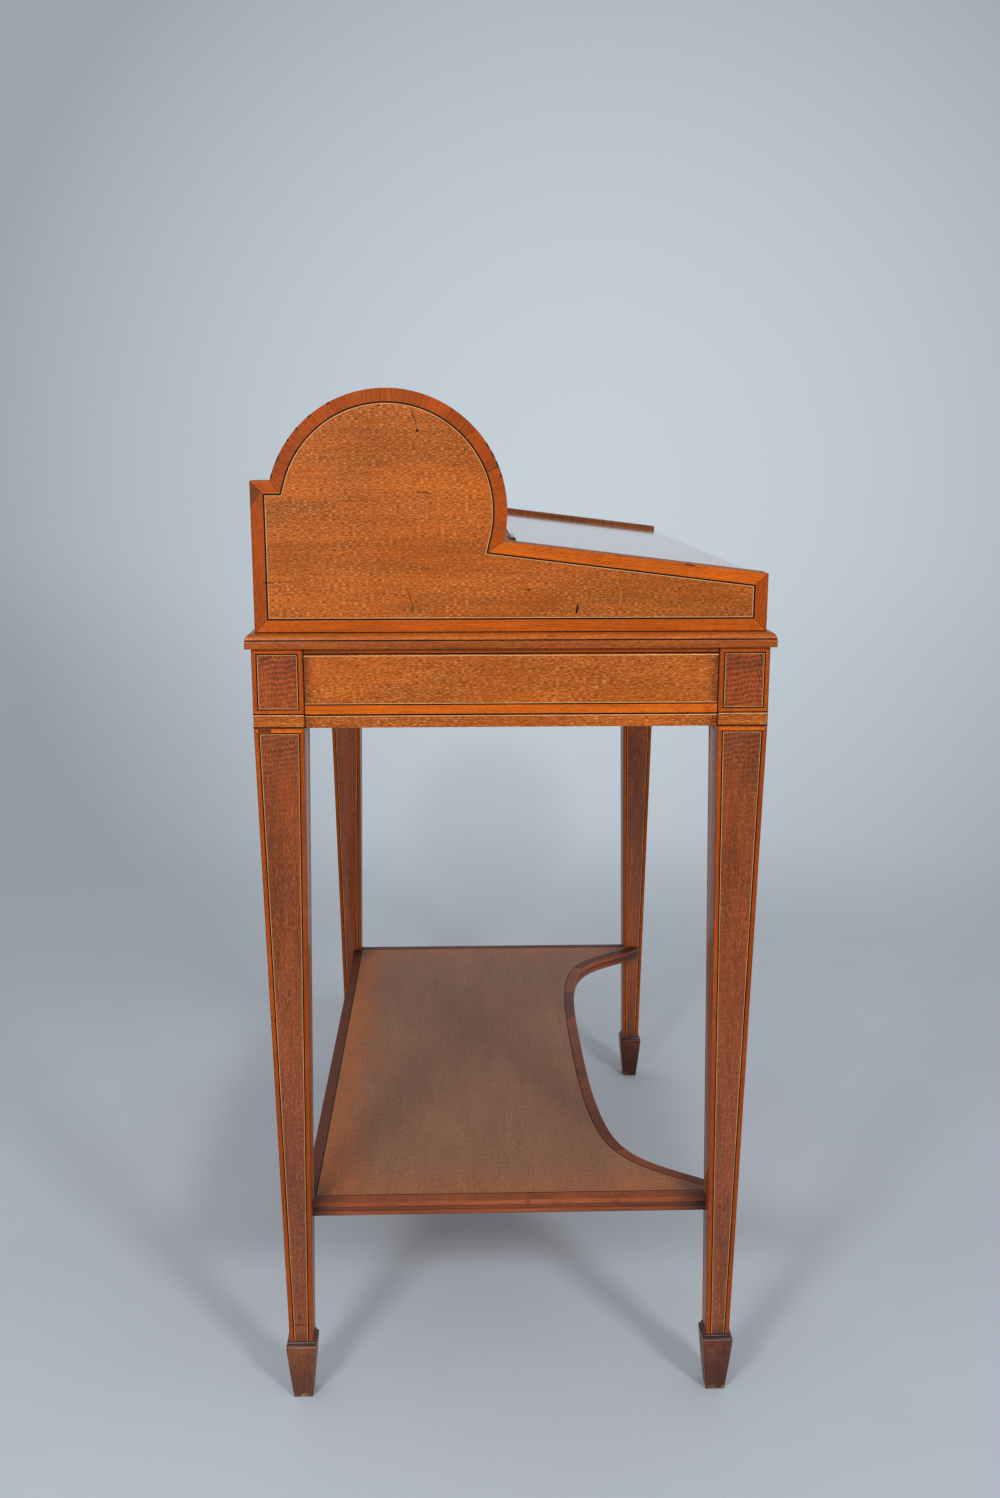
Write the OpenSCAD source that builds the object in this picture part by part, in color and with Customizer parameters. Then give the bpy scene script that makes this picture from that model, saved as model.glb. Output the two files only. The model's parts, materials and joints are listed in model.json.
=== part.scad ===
// Lady's cylinder desk on four square tapered legs, with a slope in front of its drum.
// Millimetres, +Z up. The sitter's side faces -Y, and the origin is the middle of the floor under the desk.

/* [Stand] */
// Width over the legs
stand_w = 750; // [720:5:850]
// Depth over the legs
stand_d = 450; // [440:5:480]
// Height from the floor to the underside of the top moulding
stand_h = 742; // [700:1:780]
// Height of the frieze and of the legs' square blocks
frieze_h = 70; // [64:1:78]
// Thickness of the frieze rails
rail_t = 20; // [18:1:22]
// How far the frieze rails lie behind the leg blocks
rail_inset = 1; // [0.5:0.1:1.5]
// Height of the rail under the drawer
lower_rail_h = 11; // [9:1:14]
// Height of the rail above the drawer
upper_rail_h = 7; // [5:1:9]
// Depth of the two front rails
front_rail_d = 38; // [32:1:42]

/* [Legs] */
// Side of the leg at its block
leg_top = 44; // [42:1:48]
// Side of the leg at its ankle
leg_ankle = 22.4; // [20:0.2:25]
// Height of the spade foot up to its widest line
foot_h = 58; // [50:1:66]
// Side of the spade foot at its widest line
foot_wide = 29.5; // [26:0.5:31]
// Side of the spade foot at its sole
foot_sole = 18.5; // [15:0.5:20]
// Height of the sloped shoulder above the foot's widest line
foot_shoulder = 5; // [3:0.5:8]
// How far the foot stands out past the ankle on each side
ankle_step = 0.5; // [0.2:0.1:1]
// Radius of the dowel that joins leg and foot
dowel_r = 5; // [4:0.5:6]
// Length of that dowel
dowel_len = 24; // [16:1:30]

/* [Joinery] */
// Thickness of the rail tenons
tenon_t = 8; // [6:1:10]
// Length of the rail tenons
tenon_len = 18; // [14:1:22]
// How much lower a tenon is than its rail, at the top and at the bottom
tenon_shoulder = 2; // [1.5:0.5:2.5]
// Clearance of a glued joint on every side
glue_gap = 0.1; // [0.05:0.05:0.2]
// Gap between a moving piece and the seat that it rests on
seat_gap = 0.3; // [0.2:0.05:0.5]

/* [Top moulding] */
// Thickness of the deck board and of the moulding round it
deck_t = 13; // [12:1:18]
// How far the moulding stands out over the legs
moulding_reach = 5; // [4:0.5:10]
// Width of the moulding strips, from their outer edge inwards
moulding_w = 17; // [15:1:26]
// Height of the plain band under the rounded part
moulding_band = 7; // [6:0.2:8.4]
// Width of the small step between the band and the rounded part
moulding_quirk = 0.5; // [0.4:0.1:1.2]

/* [Undershelf] */
// Height of the shelf's upper face
shelf_z = 203; // [180:1:240]
// Thickness of the shelf
shelf_t = 14.5; // [12:0.5:16]
// Distance of the shelf's side edges from the legs' outer faces
shelf_side = 24.3; // [20:0.1:27]
// Distance of the shelf's back edge from the legs' back faces
shelf_back = 25.5; // [20:0.5:28]
// Distance of the deepest part of the concave front from the legs' front faces
bay_deep = 126; // [110:1:150]
// Distance of the tips of the concave front from the legs' front faces
bay_tip = 14; // [10:0.5:24]
// Share of the concave front's depth that comes from its one gentle sweep
bay_sweep = 0.36; // [0.2:0.02:0.6]
// Squareness of the two tight corners of the concave front
bay_power = 12; // [8:1:16]
// How softly those corners run out along the legs
bay_return = 3.2; // [1.6:0.2:4]

/* [Upper case] */
// Distance of the upper case from the legs' outer faces, on all four sides
case_inset = 3.5; // [3:0.5:5]
// Thickness of the two gables
gable_t = 25; // [22:1:28]
// Height of the gables at their front edge
gable_front_h = 50; // [46:1:54]
// Height of the gables' flat step at the back
gable_step_h = 129; // [122:1:134]
// Depth of the sloped surface below the gables' edges
slope_deep = 5; // [4:0.5:10]
// Slope of the writing surface in degrees
slope_deg = 7; // [5:0.5:9]
// Radius of the gables' round arch
arch_r = 102; // [96:1:112]
// Height of the arch's circle above the deck, at its lowest point
arch_above_deck = 1; // [1:0.5:4]
// Distance of the arch's circle from the back of the case
arch_before_back = 13.5; // [12:0.5:16]
// Thickness of the case's bottom board
case_bottom_t = 8; // [6:0.5:9]
// Thickness of the back board
back_board_t = 8; // [6:0.5:10]
// Thickness of the capping on the back board
capping_t = 9; // [8:0.5:12]
// Thickness of the rail under the front edge of the slope
slope_rail_t = 14; // [12:1:18]
// Thickness of the board that closes the well at the back
well_back_t = 8; // [6:1:8]
// Room between the open fall and the boards that it turns round
turn_room = 3; // [2:0.5:4]
// How far the gables stand above the drum and the capping
gable_proud = 9; // [8:0.5:10]

/* [Slope lid] */
// Thickness of the lid
lid_t = 13; // [11:1:14]
// Gap between the lid and each gable
lid_side_gap = 1; // [0.6:0.1:1.5]
// How far the lid's front edge stands out over the case
lid_nosing = 1.5; // [0.5:0.5:3]
// Distance of the lid's hinge line in front of the arch
hinge_before_arch = 9; // [7:0.5:12]
// Depth of the fixed rail that holds the hinges, below the lid's surface
hinge_rail_t = 16; // [15:1:20]
// Gap between the lid and the hinge rail
hinge_seam = 1; // [0.8:0.1:1.4]

/* [Butt hinges] */
// Length of each hinge
hinge_len = 50; // [40:1:60]
// Distance of each hinge's middle from the middle of the desk
hinge_x = 235; // [200:5:270]
// Radius of the hinge's barrel
barrel_r = 3; // [2.6:0.1:3.4]
// Radius of the hinge's pin
pin_r = 1.2; // [1:0.1:1.5]
// Running clearance of the pin in the barrel
pin_gap = 0.05; // [0.03:0.01:0.08]
// Thickness of a hinge leaf
leaf_t = 1.4; // [1.2:0.1:1.5]
// Height of a hinge leaf
leaf_h = 11; // [9:0.5:12]
// Gap between two barrel pieces
barrel_gap = 0.25; // [0.2:0.05:0.4]

/* [Cylinder fall] */
// Thickness of the fall
fall_t = 10; // [8:0.5:11]
// Angle past the drum's back level where the fall ends, from the front level over the top
fall_back_deg = 168; // [167:0.5:172]
// Depth of the grooves in the gables
groove_depth = 8; // [6:0.5:10]
// Gap round the fall's tongues in the grooves
groove_gap = 0.4; // [0.3:0.05:0.6]
// Angle that the fall turns through
fall_travel_deg = 110; // [105:1:112]
// Distance of the fall's knobs from the middle of the desk
fall_knob_x = 150; // [120:5:180]
// Angle of the fall's knobs above the front level
fall_knob_deg = 12; // [8:1:16]
// Angle of the fall's lock and keyhole below the front level
fall_lock_deg = 8; // [7:0.5:9]

/* [Writing interior] */
// Thickness of the floor board
floor_t = 9; // [8:0.5:10]
// Height of the nest of pigeonholes above the floor board
nest_h = 80; // [76:1:84]
// Distance of the nest's front from the drum's axis
nest_ahead = 20; // [15:1:25]
// Thickness of the nest's top board
nest_top_t = 5; // [4:0.5:6]
// Thickness of the nest's uprights, shelves and back
nest_board_t = 4; // [3:0.5:5]
// Width of the middle compartment
nest_middle_w = 150; // [120:5:180]
// Clear height for the letter drawers
letter_h = 30; // [26:1:34]
// Pigeonholes on each side of the middle compartment
holes_a_side = 3; // [2:1:4]
// Height of the arched valances over the pigeonholes
valance_h = 12; // [10:0.5:14]
// Rise of the valances' arches
valance_rise = 9; // [6:0.5:9.5]
// Thickness of the valances
valance_t = 3; // [2:0.5:4]
// How far the valances lie behind the nest's front
valance_inset = 2; // [1:0.5:3]

/* [Letter drawers] */
// Gap round a letter drawer
letter_gap = 0.4; // [0.3:0.05:0.6]
// Thickness of its front
letter_front_t = 8; // [6:0.5:9]
// Thickness of its sides and back
letter_side_t = 4; // [3:0.5:5]
// Thickness of its bottom
letter_bottom_t = 3; // [2:0.5:4]
// How much lower its sides are than its front
letter_side_drop = 4; // [2:1:8]

/* [Frieze drawer] */
// Gap round the drawer front
drawer_gap = 0.7; // [0.5:0.1:1]
// Thickness of the drawer front
drawer_front_t = 18; // [16:1:20]
// Room between the closed drawer and the back rail
drawer_back_gap = 25; // [10:1:80]
// Thickness of the drawer's sides and back
drawer_side_t = 8; // [7:0.5:10]
// Gap between the drawer's sides and the leg blocks
drawer_side_play = 2; // [1.5:0.1:3]
// Gap between the drawer's sides and the guides
guide_gap = 0.5; // [0.3:0.1:0.8]
// How far the sides and the back stay below the drawer front's top edge
drawer_side_drop = 6; // [4:1:8]
// Thickness of the drawer's bottom
drawer_bottom_t = 4; // [3:0.5:5]
// Height of that bottom above the lower edge of the sides
drawer_bottom_up = 4; // [3:0.5:6]
// Depth of the grooves that hold that bottom
drawer_groove = 3; // [2:0.5:4]
// Width of the runner under each side
runner_w = 30; // [20:1:36]
// Number of dovetails at each corner of the front
tails = 3; // [2:1:4]
// Length of the dovetails
tail_len = 12; // [10:0.5:13]
// How much wider a dovetail is at its tip than at its root
tail_flare = 3; // [2:0.5:4]
// Distance of the drawer knobs from the middle of the desk
drawer_knob_x = 205; // [160:5:240]

/* [Brass knobs and locks] */
// Height of a drawer knob
drawer_knob_h = 14; // [12:0.5:20]
// Radius of a drawer knob's head
drawer_knob_r = 9; // [8:0.5:10]
// Height of a knob on the fall
fall_knob_h = 14; // [12:0.5:15]
// Radius of the head of a knob on the fall
fall_knob_r = 7.5; // [6.5:0.5:8.5]
// Height of a letter drawer's knob
letter_knob_h = 9; // [8:0.5:10]
// Radius of the head of a letter drawer's knob
letter_knob_r = 4.5; // [4:0.5:5.5]
// Radius of a knob's shank
shank_r = 2; // [1.5:0.1:2.5]
// Length of the shank in the wood
shank_len = 7; // [5:0.5:7.5]
// Length of the shank in a letter drawer's front
letter_shank_len = 5; // [3:0.5:5.5]
// Radius of the round keyhole plates
plate_r = 6; // [5:0.5:7]
// Thickness of the round keyhole plates
plate_t = 1.5; // [1:0.1:1.8]
// Radius of the key's hole
key_r = 1.8; // [1.4:0.1:2]
// Width of the locks
lock_w = 50; // [40:1:60]
// Height of the locks
lock_h = 18; // [16:1:20]
// Thickness of the locks
lock_t = 8; // [7:0.5:8]
// Wood left in front of a lock
lock_cover = 6; // [5:0.5:7]
// Wood left above the frieze drawer's lock
lock_top_wood = 4; // [2:0.5:6]
// Depth that the fall's lock is let into the fall
fall_lock_sink = 3; // [2:0.5:4]

/* [Hidden] */
$fn = 96;

// The veneers' and fittings' colours
mahogany = [0.55, 0.27, 0.13];
dark_mahogany = [0.42, 0.18, 0.1];
satinwood = [0.76, 0.38, 0.14];
oak = [0.66, 0.5, 0.31];
brass = [0.79, 0.63, 0.3];

// The knobs reach further forward than the moulding, so the case's middle lies behind the origin
front_reach = max(drawer_knob_h - rail_inset, moulding_reach);
mid_y = (front_reach - moulding_reach) / 2;
front_y = mid_y - stand_d / 2;
back_y = mid_y + stand_d / 2;
side_x = stand_w / 2;

// Legs
frieze_z = stand_h - frieze_h;
ankle_z = foot_h + foot_shoulder;
leg_x = side_x - leg_top / 2;
leg_front_y = front_y + leg_top / 2;
leg_back_y = back_y - leg_top / 2;
block_x = side_x - leg_top;

// Frieze
rail_x = side_x - rail_inset;
rail_front_y = front_y + rail_inset;
rail_back_y = back_y - rail_inset;
opening_z0 = frieze_z + lower_rail_h;
opening_z1 = stand_h - upper_rail_h;

// Upper case
base_z = stand_h + deck_t;
case_front_y = front_y + case_inset;
case_back_y = back_y - case_inset;
inner_x = side_x - case_inset - gable_t;
step_z = base_z + gable_step_h;
axis_y = case_back_y - arch_before_back - arch_r;
axis_z = base_z + arch_above_deck + arch_r;
fall_r = arch_r - gable_proud;
fall_r_in = fall_r - fall_t;
slope_proud = slope_deep / cos(slope_deg);
lid_rise = lid_t / cos(slope_deg);
capping_z = step_z - gable_proud;
function slope_z(y) = base_z + gable_front_h + (y - case_front_y) * tan(slope_deg);
function lid_z(y) = slope_z(y) - slope_proud;

// Hinge line, floor board and nest
hinge_y = axis_y - arch_r - hinge_before_arch;
hinge_z = lid_z(hinge_y);
floor_front_y = axis_y - fall_r;
floor_z = lid_z(floor_front_y);
case_bottom_z = base_z + case_bottom_t;
floor_back_y = axis_y + sqrt(pow(fall_r_in - turn_room, 2) - pow(axis_z - floor_z + floor_t, 2));
nest_front_y = axis_y - nest_ahead;
nest_z = floor_z + nest_h;
nest_back_y = axis_y + sqrt(pow(fall_r_in - 2 * turn_room, 2) - pow(nest_z - axis_z, 2));
nest_room_z = nest_z - nest_top_t;
shelf_top_z = floor_z + letter_h + nest_board_t;
bay_x0 = nest_middle_w / 2 + nest_board_t;
bay_w = inner_x - bay_x0;
hole_w = (bay_w - (holes_a_side - 1) * nest_board_t) / holes_a_side;
hole_back_y = nest_back_y - nest_board_t;

// Frieze drawer
drawer_x = block_x - drawer_gap;
drawer_side_x = block_x - drawer_side_play;
drawer_inner_x = drawer_side_x - drawer_side_t;
guide_x = drawer_side_x + guide_gap;
drawer_back_of_front = rail_front_y + drawer_front_t;
drawer_end_y = rail_back_y - rail_t - drawer_back_gap;
drawer_side_z0 = opening_z0 + seat_gap;
drawer_side_z1 = opening_z1 - drawer_gap - drawer_side_drop;
drawer_bottom_z = drawer_side_z0 + drawer_bottom_up;
drawer_lock_z = opening_z1 - drawer_gap - lock_h / 2 - lock_top_wood;

// Slope lock, let into the back of the rail below the lid
slope_lock_z = (base_z + lid_z(case_front_y) - lid_rise) / 2;
// Overlap that lets a cut pass clean through a face
through = 1;

// A box between two corners
module block(x0, x1, y0, y1, z0, z1) {
  translate([x0, y0, z0]) cube([x1 - x0, y1 - y0, z1 - z0]);
}

// An outline in Y and Z, drawn out along X
module along_x(x0, x1) {
  translate([x0, 0, 0]) rotate([90, 0, 90]) linear_extrude(x1 - x0) children();
}

// The same piece on the left side of the desk
module left() {
  mirror([1, 0, 0]) children();
}

// A piece on both sides of the desk
module both() {
  children();
  left() children();
}

// A square post centred on the Z axis, as wide as lower at z0 and as upper at z1
module taper(lower, upper, z0, z1) {
  outline = [[-lower / 2, z0], [lower / 2, z0], [upper / 2, z1], [-upper / 2, z1]];
  intersection() {
    rotate([90, 0, 0]) linear_extrude(lower + upper, center = true) polygon(outline);
    rotate([90, 0, 90]) linear_extrude(lower + upper, center = true) polygon(outline);
  }
}

// Legs and feet

module side_tenon(y0, y1, gap) {
  tenon_x = rail_x - rail_t / 2;
  block(tenon_x - tenon_t / 2 - gap, tenon_x + tenon_t / 2 + gap, y0 - gap, y1 + gap,
        frieze_z + tenon_shoulder - gap, stand_h - tenon_shoulder + gap);
}

module cross_tenon(y_mid, z0, z1, gap) {
  block(block_x - through, block_x + tenon_len + gap, y_mid - tenon_t / 2 - gap, y_mid + tenon_t / 2 + gap,
        z0 + tenon_shoulder - gap, z1 - tenon_shoulder + gap);
}

module leg_form(grow) {
  low = (leg_ankle + grow) / 2;
  high = (leg_top + grow) / 2;
  outline = [[-low, ankle_z], [low, ankle_z], [high, frieze_z], [high, stand_h],
             [-high, stand_h], [-high, frieze_z]];
  intersection() {
    rotate([90, 0, 0]) linear_extrude(2 * leg_top, center = true) polygon(outline);
    rotate([90, 0, 90]) linear_extrude(2 * leg_top, center = true) polygon(outline);
  }
}

module leg_blank() {
  leg_form(0);
  translate([0, 0, ankle_z - dowel_len]) cylinder(h = dowel_len + through, r = dowel_r);
}

module leg_front() {
  color(mahogany) difference() {
    translate([leg_x, leg_front_y, 0]) leg_blank();
    side_tenon(front_y + leg_top - tenon_len, front_y + leg_top + through, glue_gap);
    cross_tenon(rail_front_y + rail_t / 2, frieze_z, opening_z0, glue_gap);
    cross_tenon(rail_front_y + rail_t / 2, opening_z1, stand_h, glue_gap);
  }
}

module leg_back() {
  color(mahogany) difference() {
    translate([leg_x, leg_back_y, 0]) leg_blank();
    side_tenon(back_y - leg_top - through, back_y - leg_top + tenon_len, glue_gap);
    cross_tenon(rail_back_y - rail_t / 2, frieze_z, stand_h, glue_gap);
  }
}

module leg_front_left() { left() leg_front(); }
module leg_front_right() { leg_front(); }
module leg_back_left() { left() leg_back(); }
module leg_back_right() { leg_back(); }

module foot(y) {
  color(dark_mahogany) translate([leg_x, y, 0]) difference() {
    union() {
      taper(foot_sole, foot_wide, 0, foot_h);
      taper(foot_wide, leg_ankle + 2 * ankle_step, foot_h, ankle_z);
    }
    translate([0, 0, ankle_z - dowel_len - glue_gap]) cylinder(h = dowel_len + through, r = dowel_r + glue_gap);
  }
}

module foot_front_left() { left() foot(leg_front_y); }
module foot_front_right() { foot(leg_front_y); }
module foot_back_left() { left() foot(leg_back_y); }
module foot_back_right() { foot(leg_back_y); }

// Rails and runners

module side_rail() {
  color(mahogany) {
    block(rail_x - rail_t, rail_x, front_y + leg_top, back_y - leg_top, frieze_z, stand_h);
    side_tenon(front_y + leg_top - tenon_len, back_y - leg_top + tenon_len, 0);
  }
}

module side_rail_left() { left() side_rail(); }
module side_rail_right() { side_rail(); }

module cross_rail(y0, y1, tenon_y, z0, z1) {
  color(mahogany) {
    block(-block_x, block_x, y0, y1, z0, z1);
    both() cross_tenon(tenon_y, z0, z1, 0);
  }
}

module back_rail() {
  cross_rail(rail_back_y - rail_t, rail_back_y, rail_back_y - rail_t / 2, frieze_z, stand_h);
}

module lower_front_rail() {
  cross_rail(rail_front_y, rail_front_y + front_rail_d, rail_front_y + rail_t / 2, frieze_z, opening_z0);
}

module upper_front_rail() {
  cross_rail(rail_front_y, rail_front_y + front_rail_d, rail_front_y + rail_t / 2, opening_z1, stand_h);
}

module drawer_runner() {
  leg_inner_front = front_y + leg_top;
  leg_inner_back = back_y - leg_top;
  color(oak) {
    block(drawer_side_x - runner_w, block_x, rail_front_y + front_rail_d, rail_back_y - rail_t, frieze_z, opening_z0);
    block(block_x, rail_x - rail_t, leg_inner_front, leg_inner_back, frieze_z, opening_z0);
    block(guide_x, rail_x - rail_t, leg_inner_front, leg_inner_back, opening_z0, opening_z1);
  }
}

module drawer_runner_left() { left() drawer_runner(); }
module drawer_runner_right() { drawer_runner(); }

// Deck and moulding

module deck_board() {
  edge = moulding_w - moulding_reach;
  color(mahogany) block(-side_x + edge, side_x - edge, front_y + edge, back_y - edge, stand_h, base_z);
}

// Section of the moulding: a plain band, a small step and a quarter round above it.
// It starts at its inner edge, so outwards is +X.
module moulding_section() {
  round_r = deck_t - moulding_band;
  square([moulding_w, moulding_band]);
  square([moulding_w - moulding_quirk - round_r, deck_t]);
  translate([moulding_w - moulding_quirk - round_r, moulding_band]) intersection() {
    circle(round_r);
    square(round_r);
  }
}

// A strip that runs along +Y, centred on the origin, with a mitre at each end.
// Its outer edge is at x = 0 and is as long as outer_len.
module moulding_strip(outer_len) {
  half = outer_len / 2;
  color(mahogany) intersection() {
    translate([-moulding_w, half, stand_h]) rotate([90, 0, 0]) linear_extrude(outer_len) moulding_section();
    translate([0, 0, stand_h - through]) linear_extrude(deck_t + 2 * through)
      polygon([[0, -half], [0, half], [-moulding_w, half - moulding_w], [-moulding_w, moulding_w - half]]);
  }
}

module moulding_right() {
  translate([side_x + moulding_reach, mid_y, 0]) moulding_strip(stand_d + 2 * moulding_reach);
}
module moulding_left() { left() moulding_right(); }
module moulding_back() {
  translate([0, back_y + moulding_reach, 0]) rotate([0, 0, 90]) moulding_strip(stand_w + 2 * moulding_reach);
}
module moulding_front() {
  translate([0, front_y - moulding_reach, 0]) rotate([0, 0, -90]) moulding_strip(stand_w + 2 * moulding_reach);
}

// Undershelf: a board notched round the legs. With u = |x / half| its concave front is y = deep - drop * f(u),
// f(u) = sweep * u^3 + (1 - sweep) * (1 - (1 - u^power)^return), a gentle sweep with a tight corner near each leg

function bay_fall(u) =
  bay_sweep * pow(u, 3) + (1 - bay_sweep) * (1 - pow(1 - pow(u, bay_power), bay_return));

module undershelf() {
  shelf_x = side_x - shelf_side;
  leg_share = (shelf_z - ankle_z) / (frieze_z - ankle_z);
  bay_half = leg_x - (leg_ankle + (leg_top - leg_ankle) * leg_share) / 2;
  bay_steps = 64;
  deep_y = front_y + bay_deep;
  tip_y = front_y + bay_tip;
  bay = [for (i = [0 : bay_steps])
    let (u = 2 * i / bay_steps - 1) [bay_half * u, deep_y - (deep_y - tip_y) * bay_fall(abs(u))]];
  color(dark_mahogany) difference() {
    translate([0, 0, shelf_z - shelf_t]) linear_extrude(shelf_t)
      polygon(concat(bay, [[shelf_x, tip_y], [shelf_x, back_y - shelf_back],
                           [-shelf_x, back_y - shelf_back], [-shelf_x, tip_y]]));
    both() {
      translate([leg_x, leg_front_y, 0]) leg_form(2 * glue_gap);
      translate([leg_x, leg_back_y, 0]) leg_form(2 * glue_gap);
    }
  }
}

// Drum frame: local x points to the front, y up and z to the left, from the drum's axis.
// Angles start at the front level and rise over the top to the back.

module drum_frame() {
  translate([0, axis_y, axis_z]) rotate([90, 0, -90]) children();
}

module drum_sector(r0, r1, deg0, deg1, half_len) {
  drum_frame() rotate([0, 0, deg0]) rotate_extrude(angle = deg1 - deg0, $fn = 180)
    translate([r0, -half_len]) square([r1 - r0, 2 * half_len]);
}

// A place on the drum's radius r at an angle, with local z pointing outwards
module on_drum(r, deg, x) {
  drum_frame() rotate([0, 0, deg]) translate([r, 0, -x]) rotate([0, 90, 0]) children();
}

// Gables

module gable_arch() {
  arch_low_z = axis_z - arch_r / 2;
  intersection() {
    translate([axis_y, axis_z]) circle(arch_r, $fn = 180);
    translate([axis_y - 2 * arch_r, arch_low_z]) square([4 * arch_r, 2 * arch_r]);
  }
}

module gable_body() {
  polygon([[case_front_y, base_z], [case_front_y, slope_z(case_front_y)], [axis_y, slope_z(axis_y)],
           [axis_y, step_z], [case_back_y, step_z], [case_back_y, base_z]]);
}

module gable() {
  groove_end = 3;
  lower_deg = asin((axis_z - floor_z) / fall_r_in) + groove_end;
  color(mahogany) difference() {
    union() {
      along_x(inner_x, inner_x + gable_t) gable_body();
      along_x(inner_x, inner_x + gable_t) gable_arch();
    }
    drum_sector(fall_r_in - groove_gap, fall_r + groove_gap, -lower_deg,
                fall_back_deg + fall_travel_deg + groove_end, inner_x + groove_depth);
  }
}

module gable_left() { left() gable(); }
module gable_right() { gable(); }

// Boards of the upper case, all between the gables

module case_bottom() {
  color(oak) block(-inner_x, inner_x, case_front_y + slope_rail_t, case_back_y - back_board_t,
                   base_z, case_bottom_z);
}

module back_board() {
  color(mahogany) block(-inner_x, inner_x, case_back_y - back_board_t, case_back_y,
                        base_z, capping_z - capping_t);
}

module back_capping() {
  capping_gap = 0.7;
  color(satinwood) difference() {
    block(-inner_x, inner_x, axis_y, case_back_y, capping_z - capping_t, capping_z);
    drum_frame() cylinder(h = 2 * side_x, r = fall_r + capping_gap, center = true, $fn = 180);
  }
}

module slope_front_rail() {
  rail_end_y = case_front_y + slope_rail_t;
  under = lid_rise + seat_gap;
  color(satinwood) difference() {
    along_x(-inner_x, inner_x)
      polygon([[case_front_y, base_z], [rail_end_y, base_z],
               [rail_end_y, lid_z(rail_end_y) - under], [case_front_y, lid_z(case_front_y) - under]]);
    lock_pocket(case_front_y, slope_rail_t, slope_lock_z);
    face_plate_recess(case_front_y, slope_lock_z);
  }
}

module hinge_rail() {
  rail_face_y = hinge_y + hinge_seam / 2;
  color(mahogany) difference() {
    along_x(-inner_x, inner_x)
      polygon([[rail_face_y, hinge_z - hinge_rail_t], [floor_front_y, hinge_z - hinge_rail_t],
               [floor_front_y, floor_z], [rail_face_y, lid_z(rail_face_y)]]);
    both() hinge_recess();
  }
}

module well_back() {
  color(oak) block(-inner_x, inner_x, floor_front_y, floor_front_y + well_back_t,
                   case_bottom_z, floor_z - floor_t);
}

module inner_floor() {
  color(mahogany) block(-inner_x, inner_x, floor_front_y, floor_back_y, floor_z - floor_t, floor_z);
}

// Slope lid and its hinges

module slope_lid() {
  lid_back_y = hinge_y - hinge_seam / 2;
  lid_front_y = case_front_y - lid_nosing;
  color(mahogany) difference() {
    along_x(-inner_x + lid_side_gap, inner_x - lid_side_gap)
      polygon([[lid_front_y, lid_z(lid_front_y) - lid_rise], [lid_back_y, lid_z(lid_back_y) - lid_rise],
               [lid_back_y, lid_z(lid_back_y)], [lid_front_y, lid_z(lid_front_y)]]);
    both() hinge_recess();
  }
}

// Room for a hinge's leaves and barrel in the two wooden edges
module hinge_recess() {
  room = 0.1;
  half = hinge_len / 2 + room;
  block(hinge_x - half, hinge_x + half, hinge_y - leaf_t - 2 * room, hinge_y + leaf_t + 2 * room,
        hinge_z - leaf_h - room, hinge_z + through);
  translate([hinge_x - half, hinge_y, hinge_z]) rotate([0, 90, 0])
    cylinder(h = 2 * half, r = barrel_r + seat_gap);
}

// One leaf: a plate on the side that y_sign gives, and every second piece of the barrel
module hinge_leaf(y_sign, first) {
  pieces = 5;
  leaf_gap = 0.1;
  piece_len = hinge_len / pieces;
  x0 = hinge_x - hinge_len / 2;
  bore_r = pin_r + pin_gap;
  plate_y0 = y_sign > 0 ? leaf_gap : -leaf_gap - leaf_t;
  color(brass) difference() {
    union() {
      block(x0, x0 + hinge_len, hinge_y + plate_y0, hinge_y + plate_y0 + leaf_t,
            hinge_z - leaf_h, hinge_z - barrel_r - seat_gap);
      for (i = [first : 2 : pieces - 1]) translate([x0 + i * piece_len + barrel_gap / 2, 0, 0]) {
        block(0, piece_len - barrel_gap, hinge_y + plate_y0, hinge_y + plate_y0 + leaf_t,
              hinge_z - barrel_r - 2 * seat_gap, hinge_z);
        translate([0, hinge_y, hinge_z]) rotate([0, 90, 0]) cylinder(h = piece_len - barrel_gap, r = barrel_r);
      }
    }
    translate([x0 - through, hinge_y, hinge_z]) rotate([0, 90, 0])
      cylinder(h = hinge_len + 2 * through, r = bore_r);
  }
}

module hinge_rail_leaves() { both() hinge_leaf(1, 0); }
module hinge_lid_leaves() { both() hinge_leaf(-1, 1); }
module hinge_pins() {
  color(brass) both() translate([hinge_x - hinge_len / 2, hinge_y, hinge_z]) rotate([0, 90, 0])
    cylinder(h = hinge_len, r = pin_r);
}

// Locks and keyhole plates. A lock sits in a pocket at the back of a front piece.

module lock_pocket(face_y, wood_t, z) {
  block(-lock_w / 2 - glue_gap, lock_w / 2 + glue_gap, face_y + lock_cover - glue_gap, face_y + wood_t + through,
        z - lock_h / 2 - glue_gap, z + lock_h / 2 + glue_gap);
}

module lock_body(face_y, z) {
  color(brass) difference() {
    block(-lock_w / 2, lock_w / 2, face_y + lock_cover, face_y + lock_cover + lock_t,
          z - lock_h / 2, z + lock_h / 2);
    key_bore(face_y, z);
  }
}

module key_bore(face_y, z) {
  translate([0, face_y + lock_cover + lock_t / 2, z]) rotate([90, 0, 0])
    cylinder(h = lock_cover + lock_t, r = key_r);
}

module face_plate_recess(face_y, z) {
  translate([0, face_y + plate_t + glue_gap, z]) rotate([90, 0, 0])
    cylinder(h = plate_t + through, r = plate_r + glue_gap);
  key_bore(face_y, z);
}

module face_plate(face_y, z) {
  color(brass) difference() {
    translate([0, face_y + plate_t, z]) rotate([90, 0, 0]) cylinder(h = plate_t, r = plate_r);
    key_bore(face_y, z);
  }
}

module slope_lock() { lock_body(case_front_y, slope_lock_z); }
module slope_keyhole_plate() { face_plate(case_front_y, slope_lock_z); }

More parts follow.
